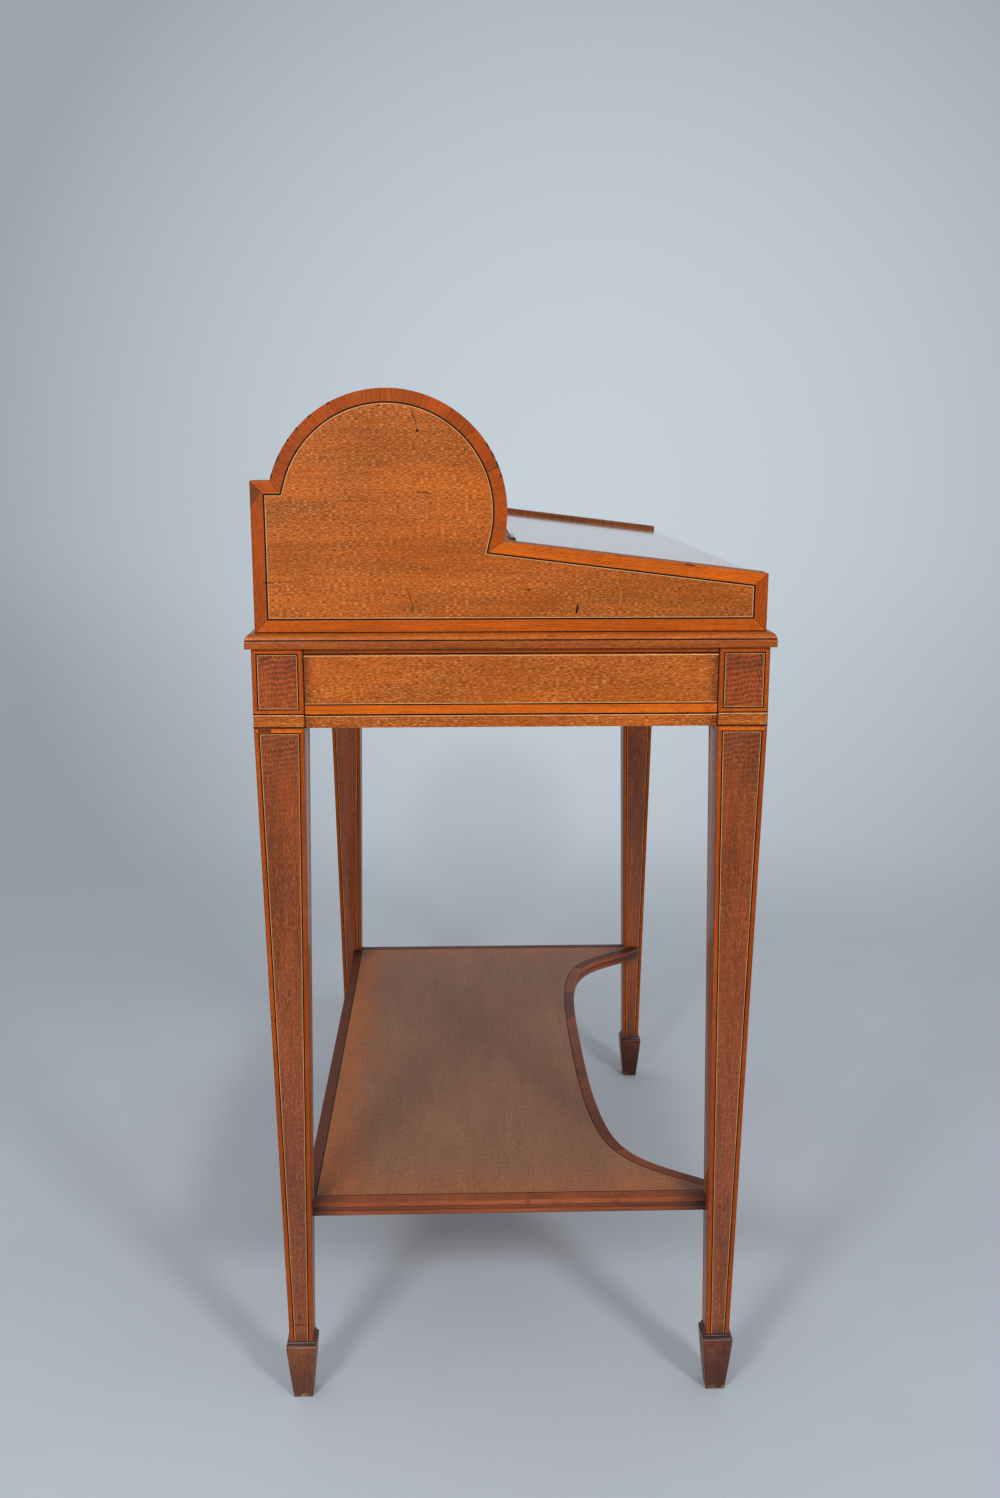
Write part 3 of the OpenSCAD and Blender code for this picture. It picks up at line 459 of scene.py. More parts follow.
class Finish:
    """A material, or the world, that is being written."""

    def __init__(self, owner):
        self.owner = owner
        owner.use_nodes = True
        self.tree = owner.node_tree
        self.tree.nodes.clear()

    def node(self, kind, settings=None, inputs=None, output=0):
        """Adds a node, sets its settings, then feeds its sockets. Gives one of its outputs, if it has any."""
        made = self.tree.nodes.new(kind)
        for name, value in (settings or {}).items():
            setattr(made, name, value)
        for name, value in (inputs or {}).items():
            if isinstance(value, Wire):
                self.tree.links.new(value.socket, made.inputs[name])
            else:
                made.inputs[name].default_value = value
        return Wire(self, made.outputs[output]) if made.outputs else None

    def math(self, operation, first, second):
        return self.node("ShaderNodeMath", {"operation": operation}, {0: first, 1: second})

    def coordinates(self, kind):
        return self.node("ShaderNodeTexCoord", None, None, kind)

    def part(self, place, axis):
        """One coordinate of a place."""
        return self.node("ShaderNodeSeparateXYZ", None, {0: place}, axis)

    def mix(self, share, first, second):
        """Colour between two others."""
        inputs = {0: share, 6: opaque(first), 7: opaque(second)}
        return self.node("ShaderNodeMix", {"data_type": "RGBA"}, inputs, 2)

    def times(self, paint, factors):
        """A painted colour with its red, green and blue multiplied by factors."""
        return self.node("ShaderNodeVectorMath", {"operation": "MULTIPLY"}, {0: paint, 1: factors})

    def stain(self, share, paint, factors):
        """The paint, multiplied by factors as far as the share goes."""
        return self.mix(share, paint, self.times(paint, factors))

    def noise(self, place, sizes, detail=1.0, rough=0.5, shift=0.0, warp=0.0):
        """Noise whose cells have the given sizes, in metres, and whose place is shifted."""
        scale = tuple(1.0 / size for size in sizes)
        cells = self.node("ShaderNodeVectorMath", {"operation": "MULTIPLY_ADD"},
                          {0: place, 1: scale, 2: (shift, shift * 1.7, shift * 2.3)})
        return self.node("ShaderNodeTexNoise", None, {"Vector": cells, "Scale": 1.0, "Detail": detail,
                                                      "Roughness": rough, "Distortion": warp})

    def bump(self, relief, strength, distance):
        inputs = {"Strength": strength, "Distance": distance, "Height": relief}
        return self.node("ShaderNodeBump", None, inputs, "Normal")

    def surface(self, **sockets):
        """Ends the material in a principled surface."""
        names = {name.replace("_", " "): value for name, value in sockets.items()}
        shader = self.node("ShaderNodeBsdfPrincipled", None, names)
        self.node("ShaderNodeOutputMaterial", None, {"Surface": shader})
        return self.owner


def opaque(colour):
    """The colour with an alpha of 1, unless it is a wire or has one."""
    if isinstance(colour, Wire) or len(colour) == 4:
        return colour
    return tuple(colour) + (1.0,)


def shade(colour, factor):
    """The colour made lighter or darker by a factor."""
    return tuple(min(1.0, c * factor) for c in colour)


def grained(axis, long, wide):
    """Sizes of a noise cell that is long along the grain and narrow across it."""
    sizes = [wide, wide, wide]
    sizes[axis] = long
    return sizes


FLECK = linear(236, 176, 104)


def veneer(finish, place, colour, axis, contrast=1.0, flecks=0.0, pores=0.5, ripple=0.0, period=0.0045,
           gloss=0.42, coat=0.0, shine=0.22, dirt=0.0, toned=0.0, wear_and_painted_light=None):
    """A polished veneer. Slow noise gives its patches, long noise its streaks, short dashes its open pores
    and the light in them, thin long noise its dark veins, and sin(height / period + noise) its ripple. Its
    tone comes from its length of veneer, and on the moulding and the reeded edge from painted highlight
    and shade across the section. Wear, a function of the finish, the place and the paint, gives the paint
    with its marks of use and, on some pieces, painted highlights and shade."""
    patch = finish.noise(place, grained(axis, 0.16, 0.03), 3.0, 0.55, 3.1, 0.4)
    streak = finish.noise(place, grained(axis, 0.045, 0.0016), 3.0, 0.65, 7.7)
    fine = finish.noise(place, grained(axis, 0.009, 0.0007), 2.0, 0.6, 1.3)
    mixed = (patch * 0.4 + streak * 0.38 + fine * 0.22).clear_of(0.37, 0.63)
    paint = finish.mix(mixed, shade(colour, 1.0 - 0.3 * contrast), shade(colour, 1.0 + 0.27 * contrast))
    if toned:
        tone = finish.node("ShaderNodeAttribute", {"attribute_name": "tone"}, None, "Fac")
        dull = tuple(1.0 - share * toned for share in (0.4, 0.5, 0.5))
        rich = tuple(1.0 + share * toned for share in (0.35, 0.42, 0.42))
        paint = finish.mix(tone.clear_of(0.0, 1.0), finish.times(paint, dull), finish.times(paint, rich))
    if ripple:
        bend = finish.noise(place, grained(axis, 6 * period, 3 * period), 2.0, 0.5, 5.2)
        split = finish.part(place, axis)
        aslant = finish.part(place, (axis + 2) % 3) * 0.12
        wave = ((split + aslant) * (2 * math.pi / period) + bend * 9.0).sine() * 0.5 + 0.5
        show = finish.noise(place, grained(axis, 0.06, 0.03), 1.0, 0.5, 8.4).clear_of(0.3, 0.55) * 0.6 + 0.4
        if axis == ALONG_Z:
            show = show * (split.clear_of(0.56, 0.69) * 0.85 + 0.15)
        paint = finish.mix((1.0 - wave) * show * ripple * 0.6, paint, shade(colour, 1.6))
        paint = finish.mix(wave * show * ripple, paint, shade(colour, 0.4))
    dash = finish.noise(place, grained(axis, 0.0034, 0.00066), 1.0, 0.5, 2.9)
    pit = 1.0 - dash.clear_of(0.28, 0.46)
    paint = finish.mix(pit * pores, paint, shade(colour, 0.36))
    vein = finish.noise(place, grained(axis, 0.03, 0.0008), 2.0, 0.5, 9.3).clear_of(0.52, 0.66)
    paint = finish.mix(vein * (0.36 * pores), paint, shade(colour, 0.45))
    rough = pit * 0.12 + streak * 0.08 + (gloss - 0.04)
    if flecks:
        field = finish.noise(place, grained(axis, 0.08, 0.03), 2.0, 0.5, 4.4).clear_of(0.3, 0.62)
        spark = dash.clear_of(0.5, 0.74) * (field * 0.5 + 0.5)
        paint = finish.mix(spark * flecks, paint, FLECK)
    if dirt:
        soil = finish.noise(place, (0.02, 0.02, 0.02), 5.0, 0.7, 6.1).clear_of(0.57, 0.76)
        paint = finish.mix(soil * dirt, paint, shade(colour, 0.35))
        rough = rough + soil * 0.1
    if wear_and_painted_light:
        paint = wear_and_painted_light(finish, place, paint)
    bump = finish.bump(streak * 0.3 + fine * 0.3 - pit * 0.6, 0.3, 0.0002)
    return finish.surface(Base_Color=paint, Roughness=rough, Normal=bump, Coat_Weight=coat,
                          Coat_Roughness=0.08, Specular_IOR_Level=shine)


# Marks of use, and painted light and shade

WORN_WOOD = linear(186, 158, 120)
# Painted highlight for the edges of a foot's shoulder and rim
PAINTED_EDGE_HIGHLIGHT = linear(190, 170, 165)
# Dark band over the chamfer above a foot's shoulder
SHOULDER_DARK = linear(34, 22, 24)
SHOULDER_Z = ANKLE_Z - 5.1 * MM
RIM_Z = ANKLE_Z - 1.1 * MM
FOOT_X = 366.5 * MM


def foot_wear_and_painted_light(finish, place, paint):
    """Bare pale wood where a foot has been knocked near the floor, brighter wood under its shoulder, two
    painted highlights along the edges of its shoulder and rim with a dark band between them, darker front
    feet, and painted shade on the sides that face under the desk."""
    height = finish.part(place, "Z")
    patch = finish.noise(place, (0.03, 0.03, 0.02), 3.0, 0.6, 9.0)
    bright = height.clear_of(0.02, ANKLE_Z - 6.0 * MM) * patch.clear_of(0.35, 0.6)
    paint = finish.stain(bright * 0.9, paint, (1.7, 1.7, 1.3))
    knocks = finish.noise(place, (0.006, 0.006, 0.004), 3.0, 0.6, 4.0).clear_of(0.47, 0.6)
    low_down = 1.0 - height.clear_of(0.001, 0.006)
    paint = finish.mix(knocks * low_down * 0.6, paint, WORN_WOOD)
    # A dark band over the chamfer above the shoulder
    dim = height.clear_of(SHOULDER_Z + 0.4 * MM, SHOULDER_Z + 1.0 * MM)
    paint = finish.mix(dim * 0.8, paint, SHOULDER_DARK)
    # Painted highlights, broken here and there, along the edges of the shoulder and of the rim
    highlight_break = finish.noise(place, (0.012, 0.012, 0.002), 3.0, 0.6, 1.0).clear_of(0.3, 0.5) * 0.5 + 0.5
    for rise in (SHOULDER_Z, RIM_Z):
        away = abs(height - rise)
        paint = finish.mix((1.0 - away.clear_of(0.08 * MM, 0.32 * MM)) * highlight_break * 0.75, paint, PAINTED_EDGE_HIGHLIGHT)
    in_front = 1.0 - finish.part(place, "Y").clear_of(-0.1, 0.1)
    paint = finish.stain(in_front, paint, (0.76, 0.68, 0.8))
    # Painted shade on the sides of the feet that face under the desk
    under = 1.0 - abs(finish.part(place, "X")).clear_of(FOOT_X - 10.5 * MM, FOOT_X - 9.5 * MM)
    return finish.stain(under * 0.5, paint, (0.5, 0.45, 0.6))


def corner_soil(finish):
    """Where the undershelf is dark with old polish, round the legs, and the distances that it is built on."""
    spot = finish.coordinates("Object")
    across = finish.part(spot, "Y")
    length = abs(finish.part(spot, "X"))
    beside = (0.0 - across).clear_of(0.14, 0.185) + across.clear_of(0.155, 0.195)
    return length.clear_of(0.285, 0.335) * beside, across, length


def soiled_corners(finish, place, paint):
    """Old polish on the undershelf's border and edge beside the legs."""
    return finish.stain(corner_soil(finish)[0] * 0.8, paint, (0.2, 0.22, 0.35))


def sunned_edge(finish, place, paint):
    """The undershelf keeps its warm colour at its back edge and at its two ends, where it was shaded."""
    soil, across, length = corner_soil(finish)
    edge = finish.noise(place, (0.05, 0.05, 0.05), 2.0, 0.5, 2.0) * 0.04
    warm = (across + edge).clear_of(0.158, 0.208) + (length + edge).clear_of(0.295, 0.365) * 0.6
    paint = finish.stain(finish.math("MINIMUM", warm, 1.0) * 0.85, paint, (1.5, 0.98, 0.42))
    return finish.stain(soil * 0.75, paint, (0.32, 0.34, 0.42))


def painted_shade_at_ends(finish, place, paint):
    """A side rail has painted shade along the two corners where it meets the leg blocks."""
    first, last, reach = float(high("leg_front_right")[1]), float(low("leg_back_right")[1]), 0.012
    along_it = finish.part(place, "Y")
    unshaded = along_it.clear_of(first, first + reach) * (1.0 - along_it.clear_of(last - reach, last))
    return finish.stain((1.0 - unshaded) * 0.75, paint, (0.3, 0.28, 0.35))


def dark_inside(finish, place, paint):
    """A gable has its bright veneer on its outer face alone. Its edges and inner face are darker."""
    outer = abs(finish.part(place, "X")).clear_of(CASE_X - 0.0008, CASE_X - 0.0003)
    return finish.stain(1.0 - outer, paint, (0.7, 0.8, 1.6))


def leg_colouring(finish, place, paint):
    """A leg darker just above its foot, a dark bloom under the top moulding, and redder wood on its
    block."""
    height = finish.part(place, "Z")
    # Darker just above the foot
    low_down = 1.0 - height.clear_of(ANKLE_Z, ANKLE_Z + 14.0 * MM)
    paint = finish.stain(low_down * 0.7, paint, (0.4, 0.38, 0.4))
    cloud = finish.noise(place, (0.014, 0.014, 0.008), 3.0, 0.6, 3.0).clear_of(0.36, 0.6)
    paint = finish.stain(height.clear_of(FRIEZE_Z, FRIEZE_Z + 12.0 * MM), paint, (1.28, 1.04, 0.4))
    high_up = height.clear_of(STAND_Z - 30.0 * MM, STAND_Z - 10.0 * MM)
    return finish.stain(high_up * cloud * 0.7, paint, (0.5, 0.55, 2.0))


# Each wood: its colour, how much lighter or darker it is, and what its veneer is like
WOODS = {
    "mahogany": ("mahogany", 1.0, dict(contrast=0.75, flecks=0.42, pores=0.62, dirt=0.25)),
    "rail_mahogany": ("mahogany", 1.0, dict(contrast=0.9, flecks=0.5, pores=0.85, dirt=0.3,
                                            wear_and_painted_light=painted_shade_at_ends)),
    "gable_mahogany": ("mahogany", 1.0, dict(contrast=1.05, flecks=0.5, pores=0.9, dirt=0.25,
                                             wear_and_painted_light=dark_inside)),
    "collar_mahogany": ("mahogany", 1.0, dict(flecks=0.5, dirt=0.3)),
    # Its toning carries the painted highlight of the ovolo and the painted shade of the quirk
    "moulding_mahogany": ("mahogany", 0.95, dict(pores=0.6, flecks=0.2, gloss=0.3, shine=0.45, dirt=0.4,
                                                 toned=0.8)),
    "fall_mahogany": ("mahogany", 1.0, dict(contrast=1.2, flecks=0.4, ripple=0.25, gloss=0.28, coat=0.2)),
    "slope_mahogany": ("mahogany", 1.0, dict(contrast=0.9, flecks=0.3, pores=0.35, gloss=0.2, coat=1.0)),
    "figured_mahogany": ("figured", 1.0, dict(contrast=1.4, pores=0.6, ripple=0.66, gloss=0.4, coat=0.35,
                                              shine=0.4, dirt=0.5, flecks=0.2, wear_and_painted_light=leg_colouring)),
    "mended_banding": ("figured", 0.6, {}),
    "repair_mahogany": ("figured", 0.75, dict(contrast=0.8, dirt=0.3)),
    "foot_mahogany": ("foot", 1.0, dict(contrast=1.2, dirt=0.5, gloss=0.34, shine=0.4, flecks=0.1,
                                        wear_and_painted_light=foot_wear_and_painted_light)),
    "shelf_mahogany": ("shelf", 1.0, dict(contrast=0.5, pores=0.35, ripple=0.1, period=0.009, gloss=0.46,
                                          dirt=0.12, flecks=0.22, shine=0.45, wear_and_painted_light=sunned_edge)),
    # Its strong toning carries the painted highlights and shade of the reeds
    "reeded_edge": ("edging", 1.0, dict(contrast=1.2, pores=0.4, dirt=0.7, gloss=0.32, toned=1.8, shine=0.4,
                                        wear_and_painted_light=soiled_corners)),
    "shelf_border": ("edging", 1.0, dict(contrast=0.9, pores=0.4, dirt=0.4, flecks=0.1, toned=1.1, shine=0.3,
                                         wear_and_painted_light=soiled_corners)),
    "satinwood_banding": ("satinwood", 1.0, dict(contrast=0.9, flecks=0.08, gloss=0.4, dirt=0.5, toned=1.0,
                                                 shine=0.16)),
    "polished_banding": ("satinwood", 1.0, dict(contrast=0.7, toned=1.0, gloss=0.2, coat=1.0)),
    "satinwood_board": ("satinwood", 1.0, dict(contrast=0.8, dirt=0.2)),
    "pale_satinwood": ("pale", 1.0, dict(contrast=0.7, gloss=0.34)),
    "ebony_line": ("ebony", 1.0, dict(contrast=0.5, pores=0.1, gloss=0.45, shine=0.12)),
    "polished_ebony": ("ebony", 1.0, dict(gloss=0.2, coat=1.0)),
    "boxwood_line": ("boxwood", 1.0, dict(contrast=0.7, pores=0.3, dirt=0.3)),
    "polished_boxwood": ("boxwood", 1.0, dict(gloss=0.2, coat=1.0)),
    "worn_boxwood": ("boxwood", 0.45, dict(dirt=0.6)),
    "oak": ("oak", 1.0, dict(contrast=0.9, pores=0.7, gloss=0.55, dirt=0.3)),
}
FINISHES = {}


def wood(name, colours, axis=None):
    """The finish of that name, made once. Its grain runs along an axis of the desk, or along the piece's own
    UV map where no axis is given."""
    key = name if axis is None else f"{name}_{'xyz'[axis]}"
    if key not in FINISHES:
        colour, factor, look = WOODS[name]
        finish = Finish(bpy.data.materials.new(key))
        place = finish.coordinates("UV" if axis is None else "Object")
        ground = shade(getattr(colours, colour), factor)
        FINISHES[key] = veneer(finish, place, ground, axis or ALONG_X, **look)
    return FINISHES[key]


def brass(colours):
    """Old brass: bright where it is rubbed, brown and rough where it is not."""
    if "brass" not in FINISHES:
        finish = Finish(bpy.data.materials.new("brass"))
        place = finish.coordinates("Object")
        stain = finish.noise(place, (0.006, 0.006, 0.006), 4.0, 0.65).clear_of(0.42, 0.7)
        scratch = finish.noise(place, (0.004, 0.0003, 0.0003), 2.0, 0.5, 2.2)
        FINISHES["brass"] = finish.surface(
            Base_Color=finish.mix(stain, colours.brass, shade(colours.brass, 0.42)), Metallic=1.0,
            Roughness=stain * 0.22 + scratch * 0.1 + 0.18, Normal=finish.bump(scratch, 0.2, 0.0001))
    return FINISHES["brass"]


def settings(context):
    return context.scene.desk_sizes, context.scene.desk_colours


def make_inlays(shapes, body, colours, woods=("satinwood_banding", "ebony_line", "boxwood_line")):
    """Makes the banding and the lines that a piece has."""
    for shape, name, slot in zip(shapes, woods, ("satinwood", "dark_mahogany", "satinwood")):
        if shape.count:
            shape.make(body, wood(name, colours), slot)


def dress(material, *names):
    """Gives CAD nodes a material."""
    for name in names:
        for slot in frame["nodes"][name].material_slots:
            slot.link = "DATA"
            slot.material = material


# Brass fittings

# Radius and height of each knot of a knob's profile, as shares of its head and its height
KNOB = ((0.9, 0.03), (0.84, 0.09), (0.55, 0.12), (0.36, 0.2), (0.32, 0.36), (0.45, 0.5), (0.82, 0.57),
        (0.99, 0.68), (0.98, 0.8), (0.8, 0.92), (0.5, 0.98), (0.2, 1.0), (0.02, 1.0))


def pair_x(node, head):
    """x of the left and of the right knob of a pair, whose heads reach the ends of the node's box."""
    reach = (high(node)[0] - low(node)[0]) / 2 - head
    return -reach, reach


def make_knobs(node, body, places, head, height, colours, sink=0.0, steps=40):
    """Turned knobs that stand for a CAD node: a small rose with a rounded rim, a waisted neck, and a mushroom
    head with a button. The rose is sunk where it sits on the drum."""
    knots = np.array(((0.86, -sink / height),) + KNOB) * np.array([head, height])
    knobs = Shape(node.replace("_knob", "_turned_knob"))
    for place in places:
        turned(knobs, smooth_profile(knots, 44), place, steps)
    knobs.make(body, brass(colours), "brass", (node,), sharp=50)


def make_plate(name, body, place, colours):
    """A round plate with a keyhole. Each ray from the keyhole's eye meets the hole's edge at
    max(eye, slot) and the plate's rim, and rings of points are laid between them."""
    radius = 6 * MM
    rays = 72
    turn = np.arange(rays) * 2 * math.pi / rays
    eye, slot, drop = radius * 0.26, radius * 0.13, radius * 0.62
    ray = np.stack([np.cos(turn), np.sin(turn)], 1)
    downwards = np.maximum(-ray[:, 1], 1e-6)
    slot_reach = np.minimum(slot / np.maximum(np.abs(ray[:, 0]), 1e-6), drop / downwards)
    hole = np.where((ray[:, 1] < 0) & (slot_reach > eye), slot_reach, eye)
    rim = np.full(len(turn), radius)
    # Reach and height, in millimetres, of each ring from the hole out to the rim
    rings = ((hole, -0.4), (hole, 0.1), (hole + 0.06 * radius, 0.28), (rim * 0.86, 0.28), (rim * 0.97, 0.1),
             (rim, -0.4))
    section = np.stack([ray * reach[:, None] for reach, _ in rings], 1)
    lifts = np.broadcast_to(np.array([rise for _, rise in rings]) * MM, section.shape[:2])
    plate = Shape(name + "_keyhole_brass")
    plate.tube(place(section, lifts), section, closed=True)
    plate.make(body, brass(colours), "brass", (name + "_keyhole_plate",))


# Pieces

# Widths of the bandings of the fall, the lid, the front rail and the letter drawers
FALL_BAND, LID_BAND, RAIL_BAND, LETTER_BAND = 13 * MM, 16 * MM, 6 * MM, 3.4 * MM
RAIL_BEVEL = 2 * MM


def leg_half(z, ankle):
    """Half the side of a leg at a height: it grows evenly from the ankle to the frieze."""
    share = np.clip((z - ANKLE_Z) / (FRIEZE_Z - ANKLE_Z), 0.0, 1.0)
    return ankle + (LEG_HALF - ankle) * share


def on_leg(centre, out, ankle):
    """Places a drawing on one face of a leg: u runs across the face and v is the height."""
    sideways = np.array([-out[1], out[0]], float)
    outwards = np.array(out, float)

    def place(flat, lift):
        z = flat[..., 1]
        reach = leg_half(z, ankle) + lift
        ground = centre + flat[..., :1] * sideways + reach[..., None] * outwards
        return np.concatenate([ground, z[..., None]], -1)

    return place


SIDES = ((1, 0), (0, 1), (-1, 0), (0, -1))
MENDED_LEG = "leg_back_left"
# Start, end and height above the ankle of each crack across the mended leg, in millimetres
LEG_CRACKS = ((-3.5, 3.5, 25.0), (-11.0, -7.0, 22.8), (-11.0, 10.5, 17.4), (-3.0, 1.5, 27.5))


class DESK_OT_legs(bpy.types.Operator):
    """Four tapered legs with softened arrises, edged panels and collars"""

    bl_idname = "desk.legs"
    bl_label = "Legs"

    def execute(self, context):
        sizes, colours = settings(context)
        collars = Shape("leg_collars")
        shapes = inlays("leg")
        seam = 0.2 * MM
        levels = ((ANKLE_Z, sizes.ankle), (ANKLE_Z + seam, sizes.ankle),
                  (FRIEZE_Z - seam, LEG_HALF - seam / 50), (FRIEZE_Z, LEG_HALF), (FRIEZE_Z + seam, LEG_HALF),
                  (STAND_Z, LEG_HALF))
        for leg in LEGS:
            centre = middle(leg)[:2]
            body = Shape(leg + "_veneered")
            post(body, centre, levels, sizes.arris)
            body.make("stand", wood("figured_mahogany", colours, ALONG_Z), "mahogany", (leg,))
            for out in SIDES:
                self.inlay_face(on_leg(centre, out, sizes.ankle), float(centre[0]), sizes, shapes, collars)
        self.mend_band(sizes, colours)
        collars.make("stand", wood("collar_mahogany", colours), "mahogany")
        make_inlays(shapes, "stand", colours)
        return {"FINISHED"}

    def mend_band(self, sizes, colours):
        """A darker half length of banding at the top of one leg, put in as a repair, and cracks low on it."""
        face = plane((low(MENDED_LEG)[0], high(MENDED_LEG)[1], 0), (0, -1, 0), (0, 0, 1), (-1, 0, 0))
        patch = Shape("leg_mended_band")
        height = FRIEZE_Z - 2.3 * MM
        start, end, width = 3.6 * MM, 15 * MM, 2.9 * MM
        bar(patch, (start, height), (end, height), width, face, sizes.veneer * 1.3)
        patch.make("stand", wood("mended_banding", colours), "dark_mahogany")
        cracks = Shape("leg_cracks")
        place = on_leg(middle(MENDED_LEG)[:2], (-1, 0), sizes.ankle)
        share = np.linspace(0, 1, 5)
        for start, end, rise in LEG_CRACKS:
            path = np.stack([start + (end - start) * share, rise + 0.5 * np.sin(5 * share + rise)], 1) * MM
            girth = 0.45 * MM * np.sin(math.pi * (0.15 + 0.7 * share))
            tapered(cracks, path + np.array([0, ANKLE_Z]), girth, place, sizes.veneer * 1.5)
        cracks.make("stand", wood("ebony_line", colours), "dark_mahogany")

    def inlay_face(self, place, shift, sizes, shapes, collars):
        """Edged panels of the block and of the shaft on one face, with the collar and its lines between."""
        _, dark, light = shapes
        near = sizes.arris * 0.9
        width = sizes.leg_band - near
        line = sizes.line * 1.1
        collar_low = FRIEZE_Z + sizes.line
        collar_high = FRIEZE_Z + 10.6 * MM
        block = rectangle(-LEG_HALF, LEG_HALF, collar_high + 1.4 * MM, STAND_Z - 0.8 * MM)
        border(shapes, block, near, width, line, place, sizes.veneer, tones=(0.5, 0.35, 0.4, 0.3))
        top_z = FRIEZE_Z - 0.4 * MM
        shaft = np.array([[sizes.ankle, ANKLE_Z], [LEG_HALF, top_z],
                          [-LEG_HALF, top_z], [-sizes.ankle, ANKLE_Z]])
        border(shapes, shaft, near, width, line, place, sizes.veneer, tones=(0.25, 1.0, 0.3), closed=False)
        span = LEG_HALF - near
        wide = LEG_HALF + sizes.veneer
        bar(collars, (-span, (collar_low + collar_high) / 2), (span, (collar_low + collar_high) / 2),
            collar_high - collar_low, place, sizes.veneer, shift=shift)
        rise = collar_high + sizes.line / 2
        bar(light, (-span, rise), (span, rise), sizes.line * 0.6, place, sizes.veneer)
        for rise in (FRIEZE_Z + sizes.line / 2, collar_high + sizes.line * 1.5):
            bar(dark, (-wide, rise), (wide, rise), sizes.line, place, sizes.veneer * 1.5, base=-sizes.arris)


class DESK_OT_feet(bpy.types.Operator):
    """Four spade feet with a sloped shoulder, worn edges near the floor and painted highlights on the
    shoulder
    """

    bl_idname = "desk.feet"
    bl_label = "Spade feet"

    def execute(self, context):
        sizes, colours = settings(context)
        shoulder = ANKLE_Z - 5 * MM
        soft = 0.5 * MM
        sole_share = 18.5 / 29.5
        # Height below the ankle and width beyond it of each section of the rim, in millimetres
        rim = ((1.6, 1.3), (0.9, 1.1), (0.5, 0.5), (0.0, 0.4))
        for leg in LEGS:
            name = leg.replace("leg", "foot")
            half = float(high(name)[0] - low(name)[0]) / 2
            sole = half * sole_share
            levels = [(0.0, sole - soft), (soft, sole), (0.5 * shoulder, (sole + half) / 2 + 0.2 * MM),
                      (shoulder - 2 * soft, half - soft * 0.1), (shoulder, half - soft * 0.3),
                      (shoulder + soft * 0.6, half - soft * 1.6), (shoulder + 1.4 * MM, half - 1.6 * MM)]
            levels += [(ANKLE_Z - drop * MM, sizes.ankle + reach * MM) for drop, reach in rim]
            foot = Shape(name + "_carved")
            post(foot, middle(name)[:2], levels, 0.9 * MM)
            foot.make("stand", wood("foot_mahogany", colours, ALONG_Z), "dark_mahogany", (name,))
        return {"FINISHED"}


def frieze_inlay(shapes, start, end, place, sizes):
    """Lines and banding of one frieze face, from the bottom up: light and dark line, banding, dark and light
    line, the open field, light and dark line, and a narrow dim banding. A dark line at each end, beside the
    leg block, is painted shadow and dirt."""
    bands, dark, light = shapes
    line = sizes.line
    # Shape, height above the frieze's lower edge, width and tone of each row
    rows = ((light, 10.2 * MM, line * 0.6, 0.5), (dark, 11.3 * MM, line * 1.4, 0.5),
            (bands, 11.9 * MM + sizes.frieze_band / 2, sizes.frieze_band, 0.95),
            (dark, 20.4 * MM, line * 1.1, 0.5), (light, 21.2 * MM, line * 0.55, 0.5),
            (light, 63.1 * MM, line * 0.6, 0.5), (dark, 64.9 * MM, line * 1.2, 0.5),
            (bands, 67.0 * MM, 2.6 * MM, 0.3))
    for shape, rise, width, tone in rows:
        bar(shape, (start, FRIEZE_Z + rise), (end, FRIEZE_Z + rise), width, place, sizes.veneer, tone=tone)
    # Painted shadow and dirt: a dark line where the face meets each leg block
    for edge in (start, end):
        inside = edge + math.copysign(line / 2, (start + end) / 2 - edge)
        bar(dark, (inside, FRIEZE_Z), (inside, STAND_Z), line * 0.8, place, sizes.veneer * 1.4)


class DESK_OT_frieze(bpy.types.Operator):
    """Frieze rails, their banding and lines"""

    bl_idname = "desk.frieze"
    bl_label = "Frieze"

    def execute(self, context):
        sizes, colours = settings(context)
        dress(wood("rail_mahogany", colours, ALONG_Y), "side_rail_left", "side_rail_right")
        dress(wood("mahogany", colours, ALONG_X), "back_rail", "lower_front_rail", "upper_front_rail")
        shapes = inlays("frieze")
        _, dark, light = shapes
        block_x, block_y = high("leg_front_left")[:2]
        for side in (-1, 1):
            face = on_side(side, high("side_rail_right")[0])
            frieze_inlay(shapes, block_y, low("leg_back_left")[1], face, sizes)
        frieze_inlay(shapes, block_x, -block_x, on_back(high("back_rail")[1]), sizes)
        front = on_front(low("lower_front_rail")[1])
        for shape, drop in ((dark, 0.5), (light, 1.5)):
            z = high("lower_front_rail")[2] - drop * sizes.line
            bar(shape, (block_x, z), (-block_x, z), sizes.line, front, sizes.veneer)
        make_inlays(shapes, "stand", colours)
        return {"FINISHED"}


